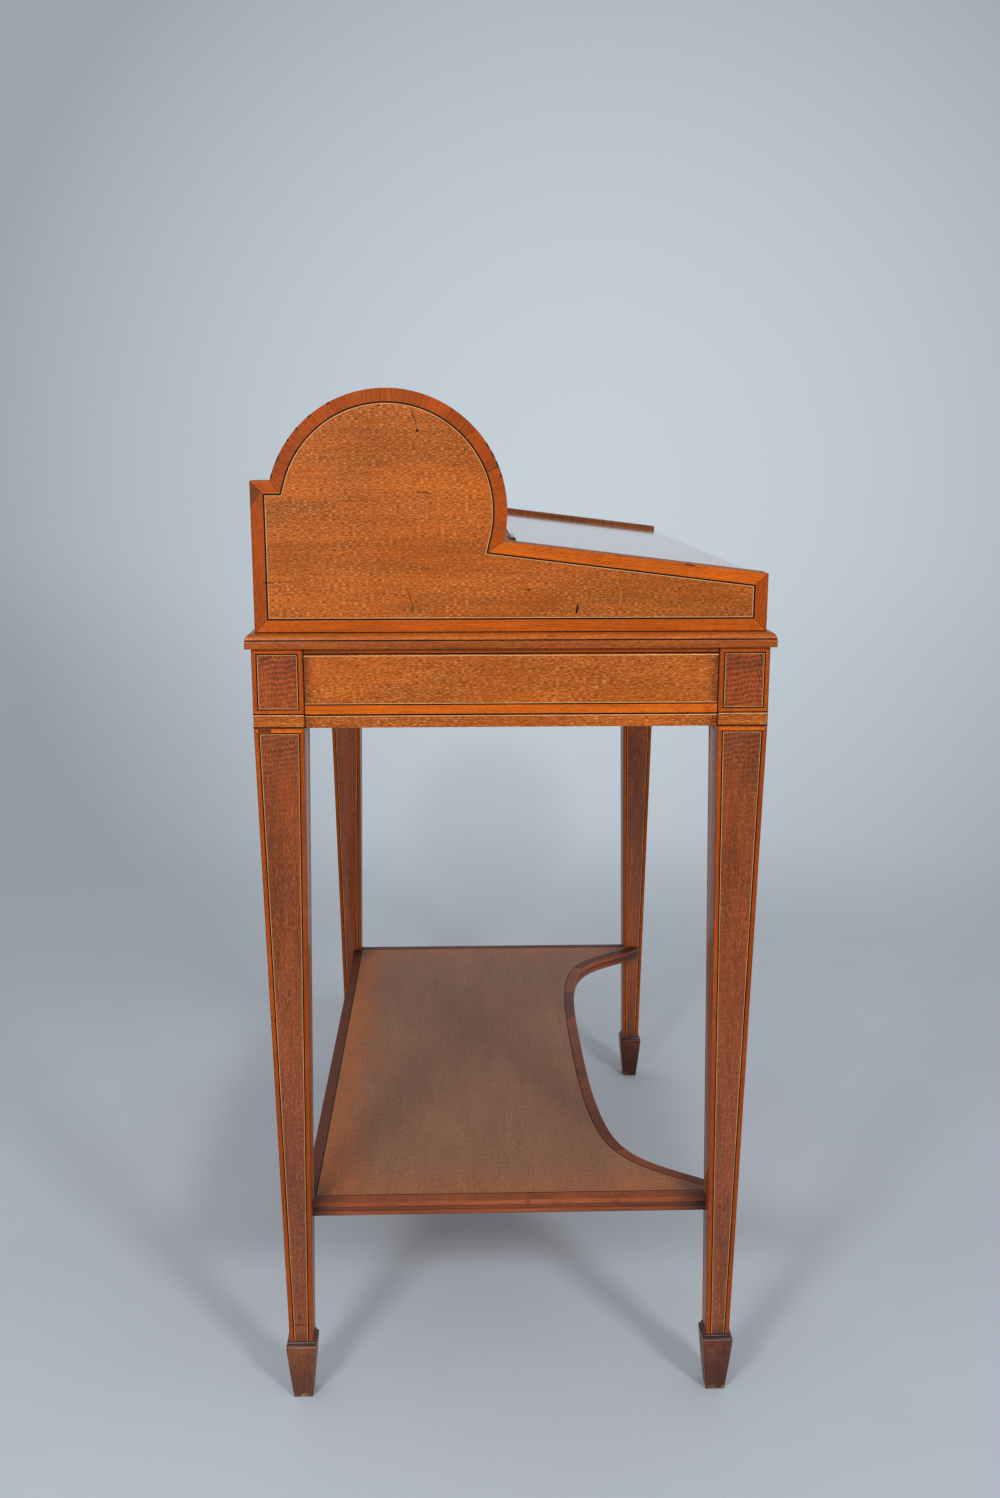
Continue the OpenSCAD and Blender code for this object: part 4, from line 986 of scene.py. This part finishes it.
class DESK_OT_moulding(bpy.types.Operator):
    """Mitred moulding round the top of the stand, with its deck board"""

    bl_idname = "desk.moulding"
    bl_label = "Top moulding"

    def execute(self, context):
        colours = context.scene.desk_colours
        reach = float(high("moulding_right")[0] - high("leg_front_right")[0])
        depth = 12 * MM
        height = DECK_Z - STAND_Z
        band_top = 6.7 * MM
        quirk = 0.8 * MM
        quirk_x = reach - 1.2 * MM
        lip = 0.1 * MM
        round_low = band_top + quirk + 0.3 * MM
        round_x, round_deep = reach - 0.5 * MM, 6.2 * MM
        share = np.linspace(0, 1, 10)
        turn = share * math.pi / 2
        ovolo = np.stack([round_x - round_deep * (1 - np.cos(turn)),
                          round_low + (height - round_low) * np.sin(turn)], 1)
        soft = 0.4 * MM
        band = np.array([[-depth, 0.0], [reach - soft, 0.0], [reach - soft * 0.3, soft * 0.3], [reach, soft],
                         [reach, band_top - soft], [reach - soft * 0.3, band_top - soft * 0.3],
                         [reach - soft, band_top], [quirk_x, band_top + lip], [quirk_x, round_low - lip]])
        section = np.concatenate([band, ovolo, [[-depth, height]]])
        # The tones paint a highlight along the lower part of the ovolo that fades up it, and shade at the
        # quirk
        tones = np.concatenate([np.full(len(band) - 1, 0.4), [0.0], 1.0 - 0.7 * share**0.7, [0.2]])
        around = along(section)
        back_y = high("leg_back_left")[1]
        half_x = high("leg_front_right")[0]
        middle_y, half_y = (LEG_FRONT + back_y) / 2, (back_y - LEG_FRONT) / 2
        runs = (("right", (1, 0), half_x, half_y), ("left", (-1, 0), half_x, half_y),
                ("back", (0, 1), half_y, half_x), ("front", (0, -1), half_y, half_x))
        seam = 0.08 * MM
        for number, (name, out, distance, half) in enumerate(runs):
            out = np.array(out, float)
            side = np.array([-out[1], out[0]])
            ends = []
            uvs = []
            for end in (-1, 1):
                run = end * (half + section[:, :1] - seam)
                ground = out * (distance + section[:, :1]) + side * run + np.array([0, middle_y])
                ends.append(np.column_stack([ground, STAND_Z + section[:, 1]]))
                uvs.append(np.column_stack([np.full(len(section), end * half + 3 * number), around]))
            node = "moulding_" + name
            piece = Shape(node + "_run")
            piece.tube(np.stack(ends), np.stack(uvs), tone=np.tile(tones, 2))
            piece.make("stand", wood("moulding_mahogany", colours), "mahogany", (node,), sharp=40)
        # A dark strip in the quirk is painted shade
        lines = Shape("moulding_dark_line")
        path = rectangle(-half_x - reach, half_x + reach, LEG_FRONT - reach, back_y + reach)
        near, far = 0.3 * MM, 1.3 * MM
        strip(lines, path, inwards(path), near, far, level(STAND_Z + band_top), quirk + lip, closed=True,
              base=0.15 * MM)
        lines.make("stand", wood("ebony_line", colours), "dark_mahogany")
        dress(wood("mahogany", colours, ALONG_X), "deck_board")
        return {"FINISHED"}


# How far the shelf's tips and the deepest point of its bay lie behind the front of the legs
BAY_TIP, BAY_DEPTH = 14 * MM, 126 * MM
BAY_POINTS = 129
BAY_TONES = (0.75, 0.3, 0.55, 0.35, 0.6, 0.2, 0.8, 0.15)
EDGE_TONES = (0.5, 0.25, 0.1, 1.0)
# Height, as a share of the edge, and brightness of the painted highlight on the lower fillet, the bead and
# the upper fillet
REEDS = ((0.37, 0.75), (0.22, 0.5), (0.41, 0.9))


def bay_fall(share):
    """Depth of the shelf's concave front from its middle, share 0, to the legs, share 1, as a part of the
    whole: f(u) = 0.36 u^3 + 0.64 (1 - (1 - u^12)^3.2), one gentle sweep with a tight corner near each leg."""
    return 0.36 * share**3 + 0.64 * (1 - (1 - share**12) ** 3.2)


class DESK_OT_undershelf(bpy.types.Operator):
    """Undershelf with a concave front, a reeded edge and a crossbanded border"""

    bl_idname = "desk.undershelf"
    bl_label = "Undershelf"

    def execute(self, context):
        sizes, colours = settings(context)
        bottom_z, top_z = float(low("undershelf")[2]), float(high("undershelf")[2])
        side_x, back_y = (float(c) for c in high("undershelf")[:2])
        tip_y, deep_y = LEG_FRONT + BAY_TIP, LEG_FRONT + BAY_DEPTH
        bay_half = float(middle("leg_front_right")[0] - leg_half(top_z, sizes.ankle))
        share = np.linspace(-1, 1, BAY_POINTS)
        bay = np.stack([bay_half * share, deep_y - (deep_y - tip_y) * bay_fall(np.abs(share))], 1)
        sides = np.array([[side_x, tip_y], [side_x, back_y], [-side_x, back_y], [-side_x, tip_y]])
        outline = np.concatenate([bay, sides])
        directions = inwards(outline)
        core, lap, sink = 5 * MM, 0.4 * MM, 0.06 * MM
        self.make_edge(outline, directions, bottom_z, top_z, core, colours)
        inner = outline + directions * (core - lap)
        board = Shape("undershelf_board")
        rings = np.stack([np.column_stack([inner, np.full(len(inner), z + sink)]) for z in (bottom_z, top_z)])
        board.tube(rings, np.zeros(rings.shape[:2] + (2,)))
        board.make("stand", wood("shelf_mahogany", colours, ALONG_X), "dark_mahogany", ("undershelf",))
        self.make_border((bay, sides[:2], sides[1:3], sides[2:]), level(top_z), sizes, colours)
        return {"FINISHED"}

    def make_edge(self, outline, directions, bottom_z, top_z, core, colours):
        """Two fillets and a bead between them. Each swells by its bite times cos(turn) to the power 0.4.
        Their tones paint a highlight on each crest and on the top arris, and shade in the grooves.
        """
        thick = top_z - bottom_z
        turn = np.linspace(-math.pi / 2, math.pi / 2, 10)[:-1]
        crest = np.maximum(np.cos(turn), 0.0) ** 0.4
        bite, last_bite = 1.1 * MM, 0.4 * MM
        rows = [[[core, 0.0]]]
        tones = [[0.0]]
        rise = 0.0
        for share, highlight in REEDS:
            reed_r = thick * share / 2
            rows.append(np.stack([bite * (1 - crest), rise + reed_r * (1 + np.sin(turn))], 1))
            tones.append(crest * highlight)
            rise += 2 * reed_r
        section = np.concatenate(rows + [[[last_bite, thick], [core, thick]]])
        tones = np.concatenate(tones + [[1.0, 0.6]])
        flat = outline[:, None, :] + directions[:, None, :] * section[None, :, :1]
        grid = level(bottom_z)(flat, np.broadcast_to(section[:, 1], flat.shape[:2]))
        uv = np.stack(np.broadcast_arrays(along(outline)[:, None], along(section)), -1)
        edge = Shape("undershelf_reeded_edge")
        edge.tube(grid, uv, closed=True, tone=np.tile(tones, len(outline)))
        edge.make("stand", wood("reeded_edge", colours), "dark_mahogany", sharp=50)

    def make_border(self, edges, place, sizes, colours):
        """Crossbanding along each edge, in eight lengths round the bay, with a dark and a light line on its
        inner side."""
        bands, dark, light = (Shape("undershelf_" + part) for part in ("border", "dark_line", "light_line"))
        near, far = 0.7 * MM, 11.6 * MM
        line_end = far + sizes.line
        for number, edge in enumerate(edges):
            directions = inwards(edge, False)
            lift = sizes.veneer * (1 + 0.15 * number)
            tones = (EDGE_TONES[number],) if number else BAY_TONES
            length = (len(edge) - 1) // len(tones)
            for piece, tone in enumerate(tones):
                part = slice(piece * length, (piece + 1) * length + 1)
                strip(bands, edge[part], directions[part], near, far, place, lift, cross=True,
                      shift=0.4 * number + 0.23 * piece, tone=tone)
            strip(dark, edge, directions, far, line_end, place, lift)
            strip(light, edge, directions, line_end, line_end + 0.4 * sizes.line, place, lift)
        bands.make("stand", wood("shelf_border", colours), "dark_mahogany")
        dark.make("stand", wood("ebony_line", colours), "dark_mahogany")
        light.make("stand", wood("worn_boxwood", colours), "satinwood")


# The gable's outline has three straight corners before the arch, and the arch is drawn in even steps
ARCH_START, ARCH_STEPS = 3, 96
ARCH_END = ARCH_START + ARCH_STEPS
ARCH_JOINTS = tuple(ARCH_START + step for step in (20, 39, 58, 77))
GABLE_CORNERS = (0, 1, 2, ARCH_START, ARCH_END, ARCH_END + 1)
GABLE_TONES = (0.6, 0.2, 0.4, 0.2, 0.25, 0.3, 0.22, 0.3, 0.7, 0.2)
# Four points (y, z) and the widest girth of each crack and old mark on the left gable, in millimetres
CRACKS = (
    ((93.9, 793.6), (92.1, 786.9), (90.0, 779.5), (87.9, 770.6), 0.5),
    ((89.2, 942.9), (87.2, 937.7), (85.1, 932.4), (83.7, 926.1), 0.6),
    ((84.3, 874.9), (80.0, 874.2), (75.6, 873.6), (72.7, 872.8), 0.8),
    ((-53.1, 779.2), (-52.6, 776.2), (-52.1, 773.3), (-51.6, 770.4), 2.0),
    ((-8.6, 791.4), (-9.8, 791.2), (-11.0, 791.8), (-12.2, 792.5), 1.3),
    ((217.6, 798.3), (214.7, 798.2), (211.7, 798.1), (208.8, 797.9), 0.9),
    ((82.9, 925.6), (83.5, 925.2), (84.1, 925.2), (84.7, 925.6), 2.6),
    ((114.6, 945.9), (115.1, 945.7), (115.6, 945.6), (116.1, 945.6), 1.6),
    ((43.6, 909.4), (44.0, 909.2), (44.4, 908.9), (44.8, 908.5), 1.4),
    ((-193.1, 776.7), (-195.0, 777.2), (-197.0, 777.4), (-198.3, 777.5), 0.5),
    ((-198.3, 777.5), (-199.0, 775.8), (-199.4, 774.0), (-199.6, 772.4), 0.5),
    ((-144.6, 813.2), (-147.6, 812.7), (-150.8, 812.2), (-154.1, 811.7), 1.0),
)
# Place (y, z) and half length of each chip in the edge of the left gable's arch, in millimetres
CHIPS = ((158.2, 948.0, 1.6), (174.7, 937.7, 2.2), (184.3, 926.0, 1.8), (192.0, 917.0, 1.6),
         (202.5, 902.5, 4.0), (207.0, 888.0, 2.2), (26.3, 912.7, 3.0), (21.5, 905.0, 3.4), (18.1, 896.3, 4.2),
         (15.1, 887.8, 2.4))
CHIP_TEETH = np.array([1.0, 0.7, 1.2, 0.8, 1.1, 0.6, 1.0])


def gable_outline(slope):
    """The gable's outline, counter-clockwise in y and z: straight sides, a step at the back, the round arch
    and the slope. The arch's foot is where the slope's line meets the circle."""
    step_y = AXIS[1] + math.sqrt(ARCH_R**2 - (STEP_Z - AXIS[2]) ** 2)
    rise = math.tan(slope)
    drop = GABLE_FRONT_Z + (AXIS[1] - CASE_FRONT) * rise - AXIS[2]
    a, b, c = 1 + rise**2, 2 * rise * drop, drop**2 - ARCH_R**2
    reach = (-b - math.sqrt(b * b - 4 * a * c)) / (2 * a)
    start = math.atan2(STEP_Z - AXIS[2], step_y - AXIS[1])
    end = math.atan2(drop + reach * rise, reach) + 2 * math.pi
    turn = np.linspace(start, end, ARCH_STEPS + 1)
    arch = np.stack([AXIS[1] + ARCH_R * np.cos(turn), AXIS[2] + ARCH_R * np.sin(turn)], 1)
    corners = [[CASE_FRONT, DECK_Z], [CASE_BACK, DECK_Z], [CASE_BACK, STEP_Z]]
    return np.concatenate([corners, arch, [[CASE_FRONT, GABLE_FRONT_Z]]])


class DESK_OT_gables(bpy.types.Operator):
    """Two gables with their banding, lines and old marks"""

    bl_idname = "desk.gables"
    bl_label = "Gables"

    def execute(self, context):
        sizes, colours = settings(context)
        dress(wood("gable_mahogany", colours, ALONG_Y), "gable_left", "gable_right")
        outline = gable_outline(sizes.slope)
        directions = inwards(outline)
        cuts = tuple(sorted(GABLE_CORNERS + ARCH_JOINTS))
        shapes = inlays("gable")
        dark = shapes[1]
        gap, joint, seam = 0.1 * MM, 0.3 * MM, 0.8 * MM
        foot = DECK_Z + seam / 2
        for side in (-1, 1):
            face = on_side(side, CASE_X)
            border(shapes, outline, gap, sizes.gable_band, sizes.line * 1.35, face, sizes.veneer, cuts=cuts,
                   crossed=range(ARCH_START, ARCH_START + 5), tones=GABLE_TONES)
            for cut in GABLE_CORNERS + ARCH_JOINTS:
                tip = outline[cut] + directions[cut] * sizes.gable_band
                bar(dark, outline[cut], tip, joint, face, sizes.veneer * 1.25)
            # A dark seam along the gable's foot, where it meets the moulding, is painted shadow and dirt
            bar(dark, (CASE_FRONT, foot), (CASE_BACK, foot), seam, face, sizes.veneer * 1.5)
        make_inlays(shapes, "stand", colours)
        self.old_marks(on_side(-1, CASE_X), sizes.veneer * 1.4, colours)
        return {"FINISHED"}

    def old_marks(self, face, lift, colours):
        """A wedge let in at the back corner as a repair, the cracks and marks, and the chips along the arch,
        all on the left gable."""
        repair = Shape("gable_repair")
        edge, reach = CASE_BACK - 0.2 * MM, 9.4 * MM
        wedge = np.array([[edge, STEP_Z - 22 * MM], [edge, STEP_Z - 1 * MM]])
        lean = np.array([[-0.02, 0.0], [-1.0, -0.9]])
        strip(repair, wedge, lean, 0.0, reach, face, lift)
        repair.make("stand", wood("repair_mahogany", colours), "mahogany")
        marks = Shape("gable_marks")
        swell = np.sin(math.pi * (0.12 + 0.8 * np.linspace(0, 1, 4)))
        for *points, girth in CRACKS:
            tapered(marks, np.array(points) * MM, girth * MM * swell, face, lift)
        count = len(CHIP_TEETH)
        depth = 1.3 * MM * np.sin(np.linspace(0.25, math.pi - 0.4, count)) * CHIP_TEETH
        reach = ARCH_R - depth / 2
        for y, z, length in CHIPS:
            spread = length * MM / ARCH_R
            turn = math.atan2(z * MM - AXIS[2], y * MM - AXIS[1]) + np.linspace(-spread, spread, count)
            path = np.stack([AXIS[1] + reach * np.cos(turn), AXIS[2] + reach * np.sin(turn)], 1)
            tapered(marks, path, depth, face, lift)
        marks.make("stand", wood("ebony_line", colours), "dark_mahogany")


class DESK_OT_case(bpy.types.Operator):
    """Boards of the upper case: bottom, back, capping, front rail, hinge rail, well, floor and runners"""

    bl_idname = "desk.case"
    bl_label = "Case boards"

    def execute(self, context):
        sizes, colours = settings(context)
        dress(wood("mahogany", colours, ALONG_X), "back_board", "slope_front_rail", "hinge_rail",
              "inner_floor")
        dress(wood("satinwood_board", colours, ALONG_X), "back_capping")
        dress(wood("oak", colours, ALONG_X), "case_bottom", "well_back")
        dress(wood("oak", colours, ALONG_Y), "drawer_runner_left", "drawer_runner_right")
        shapes = inlays("case")
        gap = 0.3 * MM
        rail = rectangle(-INNER_X, INNER_X, DECK_Z, float(high("slope_front_rail")[2]) - RAIL_BEVEL)
        rail_face = on_front(low("slope_front_rail")[1])
        border(shapes, rail, gap, RAIL_BAND, sizes.line, rail_face, sizes.veneer)
        board = rectangle(-INNER_X, INNER_X, DECK_Z, float(high("back_board")[2]))
        back = on_back(high("back_board")[1])
        border(shapes, board, gap, sizes.gable_band, sizes.line, back, sizes.veneer)
        make_inlays(shapes, "stand", colours)
        return {"FINISHED"}


FALL_THICK = 10 * MM
# Angles above the front level: the end of the fall, its knobs and its keyhole plate
FALL_END, FALL_KNOBS, FALL_PLATE = (math.radians(turn) for turn in (168, 12, -8))
FALL_STEPS = 120


class DESK_OT_fall(bpy.types.Operator):
    """Cylinder fall, its banding, knobs, lock and keyhole plate"""

    bl_idname = "desk.fall"
    bl_label = "Cylinder fall"

    def execute(self, context):
        sizes, colours = settings(context)
        bottom = float(low("cylinder_fall")[2]) - AXIS[2]
        inner_r = FALL_R - FALL_THICK
        outer = np.linspace(math.asin(bottom / FALL_R), FALL_END, FALL_STEPS)
        inner = np.linspace(FALL_END, math.asin(bottom / inner_r), FALL_STEPS)
        section = np.concatenate([np.stack([-np.cos(turn), np.sin(turn)], 1) * radius
                                  for turn, radius in ((outer, FALL_R), (inner, inner_r))])
        xs = np.linspace(low("cylinder_fall")[0], high("cylinder_fall")[0], 5)
        ones = np.ones(len(section))
        shell = Shape("cylinder_fall_shell")
        shell.tube(np.stack([np.column_stack([x * ones, AXIS[1:] + section]) for x in xs]),
                   np.stack([np.column_stack([x * ones, along(section)]) for x in xs]))
        shell.make("fall", wood("fall_mahogany", colours), "mahogany", ("cylinder_fall",))
        shapes = inlays("fall")
        edge = INNER_X - 1 * MM
        start = FALL_R * math.asin(bottom / FALL_R) + 0.6 * MM
        stop = FALL_R * FALL_END - 1.0 * MM
        corners = rectangle(-edge, edge, start, stop)
        outline = densified(corners, 3 * MM)
        cuts = [int(np.argmin(np.linalg.norm(outline - corner, axis=1))) for corner in corners]
        border(shapes, outline, 0.0, FALL_BAND, sizes.line, round_drum, sizes.veneer, cuts=cuts)
        make_inlays(shapes, "fall", colours)
        dress(brass(colours), "fall_lock")
        head, height = 7.5 * MM, 14 * MM
        places = [on_drum(FALL_KNOBS, x) for x in pair_x("fall_knobs", head)]
        make_knobs("fall_knobs", "fall", places, head, height, colours, sink=0.4 * MM)
        make_plate("fall", "fall", on_drum(FALL_PLATE, 0.0), colours)
        return {"FINISHED"}


class DESK_OT_lid(bpy.types.Operator):
    """Writing slope with its banding, hinges, lock and keyhole plate"""

    bl_idname = "desk.lid"
    bl_label = "Slope lid"

    def execute(self, context):
        sizes, colours = settings(context)
        dress(wood("slope_mahogany", colours, ALONG_X), "slope_lid")
        dress(brass(colours), "hinge_rail_leaves", "hinge_lid_leaves", "hinge_pins", "slope_lock")
        hinge = np.array(joints["lid_hinge"]["pos_m"])
        cosine, sine = math.cos(sizes.slope), math.sin(sizes.slope)
        top = plane(hinge, (1, 0, 0), (0, -cosine, -sine), (0, -sine, cosine))
        length = (hinge[1] - low("slope_lid")[1]) / cosine
        back_gap, gap = 4.2 * MM, 0.6 * MM
        half = high("slope_lid")[0] - gap
        outline = rectangle(-half, half, back_gap, length - gap)
        shapes = inlays("lid")
        border(shapes, outline, 0.0, LID_BAND, sizes.line, top, sizes.veneer * 0.6)
        make_inlays(shapes, "lid", colours, ("polished_banding", "polished_ebony", "polished_boxwood"))
        plate = "slope_keyhole_plate"
        make_plate("slope", "stand", on_front(low(plate)[1], z=middle(plate)[2]), colours)
        return {"FINISHED"}


def banded_drawer(drawer, width, line, sizes, colours):
    """Dresses a drawer's front and inlays its border. Gives the front's y."""
    front = drawer + "_front"
    front_y = low(front)[1]
    dress(wood("mahogany", colours, ALONG_X), front)
    shapes = inlays(drawer)
    border(shapes, front_face(front), 0.2 * MM, width, line, on_front(front_y), sizes.veneer)
    make_inlays(shapes, drawer, colours)
    return front_y


class DESK_OT_interior(bpy.types.Operator):
    """Nest of pigeonholes and its two letter drawers"""

    bl_idname = "desk.interior"
    bl_label = "Writing interior"

    def execute(self, context):
        sizes, colours = settings(context)
        dress(wood("mahogany", colours, ALONG_X), "nest_top")
        dress(wood("oak", colours, ALONG_X), "nest_back")
        dress(wood("pale_satinwood", colours, ALONG_X), "nest_shelves", "nest_valances")
        dress(wood("pale_satinwood", colours, ALONG_Z), "nest_uprights", "nest_dividers")
        for drawer in ("left_letter_drawer", "right_letter_drawer"):
            front_y = banded_drawer(drawer, LETTER_BAND, sizes.line * 0.8, sizes, colours)
            dress(wood("oak", colours, ALONG_Y), drawer + "_tray")
            knob = drawer + "_knob"
            head, height = 4.5 * MM, 9 * MM
            place = on_front(front_y, middle(knob)[0], middle(knob)[2])
            make_knobs(knob, drawer, [place], head, height, colours, steps=28)
        return {"FINISHED"}


class DESK_OT_frieze_drawer(bpy.types.Operator):
    """Long frieze drawer: veneered front, oak linings, knobs, lock and keyhole plate"""

    bl_idname = "desk.frieze_drawer"
    bl_label = "Frieze drawer"

    def execute(self, context):
        sizes, colours = settings(context)
        drawer = "frieze_drawer"
        knobs = drawer + "_knobs"
        front_y = banded_drawer(drawer, sizes.frieze_band, sizes.line, sizes, colours)
        dress(wood("oak", colours, ALONG_Y), drawer + "_sides")
        dress(wood("oak", colours, ALONG_X), drawer + "_back", drawer + "_bottom")
        dress(brass(colours), drawer + "_lock")
        head, height = 9 * MM, 17 * MM
        places = [on_front(front_y, x, middle(knobs)[2]) for x in pair_x(knobs, head)]
        make_knobs(knobs, drawer, places, head, height, colours)
        make_plate(drawer, drawer, on_front(front_y, z=middle(drawer + "_keyhole_plate")[2]), colours)
        return {"FINISHED"}


# Studio

# Direction in which the backdrop is brightest, and the cosine and the share of light at which it is dimmest
BRIGHT_WAY = (0.995, -0.092, -0.026)
DIM_COSINE, DIM_SHARE = 0.914, 0.603
# Direction, cosines of the rim and of the core, and depth of each soft shade on the backdrop
SHADES = (((0.924, 0.272, -0.269), 0.976, 0.998, 0.12), ((0.923, -0.302, -0.238), 0.985, 0.998, 0.03),
          ((0.965, -0.022, -0.261), 0.9972, 0.9999, 0.11))
BLACK = (0.0, 0.0, 0.0)
WHITE = (1.0, 1.0, 1.0, 1.0)
FLOOR_R, FLOOR_Z, FLOOR_STEPS = 7.0, -0.0002, 128
# Distances from the desk at which the floor begins to fade and is gone
FADE_START, FADE_END = 0.7, 1.9
SENSOR_MM, FAR_END = 36.0, 100.0
LOOK_AT = (0.0, 0.0, 0.6)
# Name, place and size of each lamp
LAMPS = (("left_lamp", (-1.8, 0.8, 1.35), 0.4), ("right_lamp", (-2.9, -1.65, 2.2), 0.6))


class DESK_OT_stage(bpy.types.Operator):
    """Floor, even daylight, two soft lamps and the camera"""

    bl_idname = "desk.stage"
    bl_label = "Studio"

    def execute(self, context):
        studio = context.scene.desk_studio
        context.scene.view_settings.view_transform = "Standard"
        self.make_floor(context, studio)
        self.make_world(context, studio)
        for name, place, size in LAMPS:
            self.make_lamp(context, name, place, size, studio.lamp)
        self.make_camera(context, studio)
        return {"FINISHED"}

    def make_floor(self, context, studio):
        """A disc that lets the backdrop through away from the desk."""
        turn = np.arange(FLOOR_STEPS) * 2 * math.pi / FLOOR_STEPS
        disc = FLOOR_R * np.stack([np.cos(turn), np.sin(turn)], 1)
        points = np.column_stack([disc, np.full(len(disc), FLOOR_Z)])
        mesh = bpy.data.meshes.new("floor")
        mesh.from_pydata(points.tolist(), [], [list(range(len(points)))])
        finish = Finish(bpy.data.materials.new("floor"))
        place = finish.coordinates("Object")
        away = finish.node("ShaderNodeVectorMath", {"operation": "LENGTH"}, {0: place}, "Value")
        cloud = finish.noise(place, (0.5, 0.5, 0.5), 4.0, 0.6)
        paint = finish.mix(cloud.clear_of(0.3, 0.7), shade(studio.floor, 0.95), studio.floor)
        ground = finish.node("ShaderNodeBsdfPrincipled", None, {"Base Color": paint, "Roughness": 0.8})
        clear = finish.node("ShaderNodeBsdfTransparent")
        both = finish.node("ShaderNodeMixShader", None,
                           {0: away.clear_of(FADE_START, FADE_END), 1: ground, 2: clear})
        finish.node("ShaderNodeOutputMaterial", None, {"Surface": both})
        mesh.materials.append(finish.owner)
        floor = bpy.data.objects.new("floor", mesh)
        context.scene.collection.objects.link(floor)

    def make_world(self, context, studio):
        """Even daylight. The backdrop that is seen, also in polish and brass, is brightest where the bright
        direction points and falls off with one minus the cosine of the angle from it. Polish sees a darker
        room behind the camera."""
        finish = Finish(bpy.data.worlds.new("daylight"))
        direction = finish.coordinates("Generated")

        def towards(way):
            return finish.node("ShaderNodeVectorMath", {"operation": "DOT_PRODUCT"}, {0: direction, 1: way},
                               "Value")

        facing = towards(BRIGHT_WAY)
        share = finish.node("ShaderNodeMapRange", None,
                            {"Value": facing, "From Min": DIM_COSINE, "From Max": 1.0})
        colour = finish.mix(share, shade(studio.backdrop, DIM_SHARE), studio.backdrop)
        for way, rim, core, depth in SHADES:
            colour = finish.mix(towards(way).clear_of(rim, core) * depth, colour, BLACK)
        room = finish.node("ShaderNodeMapRange", None,
                           {"Value": facing, "From Min": -0.7, "From Max": 0.5, "To Min": 0.3})
        camera = finish.node("ShaderNodeLightPath", None, None, "Is Camera Ray")
        gloss = finish.node("ShaderNodeLightPath", None, None, "Is Glossy Ray")
        even = finish.node("ShaderNodeBackground", None, {"Color": WHITE, "Strength": studio.daylight})
        seen = finish.node("ShaderNodeBackground", None,
                           {"Color": colour, "Strength": 1.0 - gloss * (1.0 - room)})
        both = finish.node("ShaderNodeMixShader", None,
                           {0: finish.math("MAXIMUM", camera, gloss), 1: even, 2: seen})
        finish.node("ShaderNodeOutputWorld", None, {"Surface": both})
        context.scene.world = finish.owner

    def make_lamp(self, context, name, place, size, share):
        """A round soft lamp that looks at the desk. Its power is share * (pi * distance) squared, so that a
        white board that faces it at the desk is as bright as the share says."""
        ahead = np.array(LOOK_AT) - np.array(place)
        data = bpy.data.lights.new(name, "AREA")
        data.shape = "DISK"
        data.size = size
        data.energy = share * (math.pi * np.linalg.norm(ahead)) ** 2
        lamp = bpy.data.objects.new(name, data)
        lamp.matrix_world = looking(place, ahead)
        context.scene.collection.objects.link(lamp)

    def make_camera(self, context, studio):
        """An upright camera. It looks along (cos pitch cos yaw, -cos pitch sin yaw, -sin pitch)."""
        data = bpy.data.cameras.new("camera")
        data.sensor_fit = "VERTICAL"
        data.sensor_height = SENSOR_MM
        data.lens = studio.lens
        data.clip_end = FAR_END
        camera = bpy.data.objects.new("camera", data)
        flat = math.cos(studio.pitch)
        ahead = (flat * math.cos(studio.yaw), -flat * math.sin(studio.yaw), -math.sin(studio.pitch))
        camera.matrix_world = looking(studio.eye, ahead)
        context.scene.collection.objects.link(camera)
        context.scene.camera = camera


def looking(place, ahead):
    """Matrix of an object at a place whose -Z looks ahead, with +Z up in its picture."""
    back = -np.array(ahead, float)
    back /= np.linalg.norm(back)
    right = np.cross((0.0, 0.0, 1.0), back)
    right /= np.linalg.norm(right)
    rows = np.eye(4)
    rows[:3] = np.column_stack([right, np.cross(back, right), back, place])
    return Matrix(rows.tolist())


STEPS = (DESK_OT_legs, DESK_OT_feet, DESK_OT_frieze, DESK_OT_moulding, DESK_OT_undershelf, DESK_OT_gables,
         DESK_OT_case, DESK_OT_fall, DESK_OT_lid, DESK_OT_interior, DESK_OT_frieze_drawer, DESK_OT_stage)
GROUPS = {"desk_sizes": DeskSizes, "desk_colours": DeskColours, "desk_studio": DeskStudio}


class DESK_PT_panel(bpy.types.Panel):
    """Lists the desk's sizes, colours and pieces"""

    bl_idname = "DESK_PT_panel"
    bl_label = "Cylinder desk"
    bl_space_type = "VIEW_3D"
    bl_region_type = "UI"
    bl_category = "Desk"

    def draw(self, context):
        for group in GROUPS:
            box = self.layout.box()
            for name in GROUPS[group].__annotations__:
                box.prop(getattr(context.scene, group), name)
        for step in STEPS:
            self.layout.operator(step.bl_idname)


CLASSES = (*GROUPS.values(), *STEPS, DESK_PT_panel)


def register():
    for listed in CLASSES:
        bpy.utils.register_class(listed)
    for name, group in GROUPS.items():
        setattr(bpy.types.Scene, name, PointerProperty(type=group))


def unregister():
    for name in GROUPS:
        delattr(bpy.types.Scene, name)
    for listed in reversed(CLASSES):
        bpy.utils.unregister_class(listed)


def main():
    register()
    for step in STEPS:
        getattr(bpy.ops.desk, step.bl_idname.split(".")[1])()


if __name__ == "__main__":
    main()
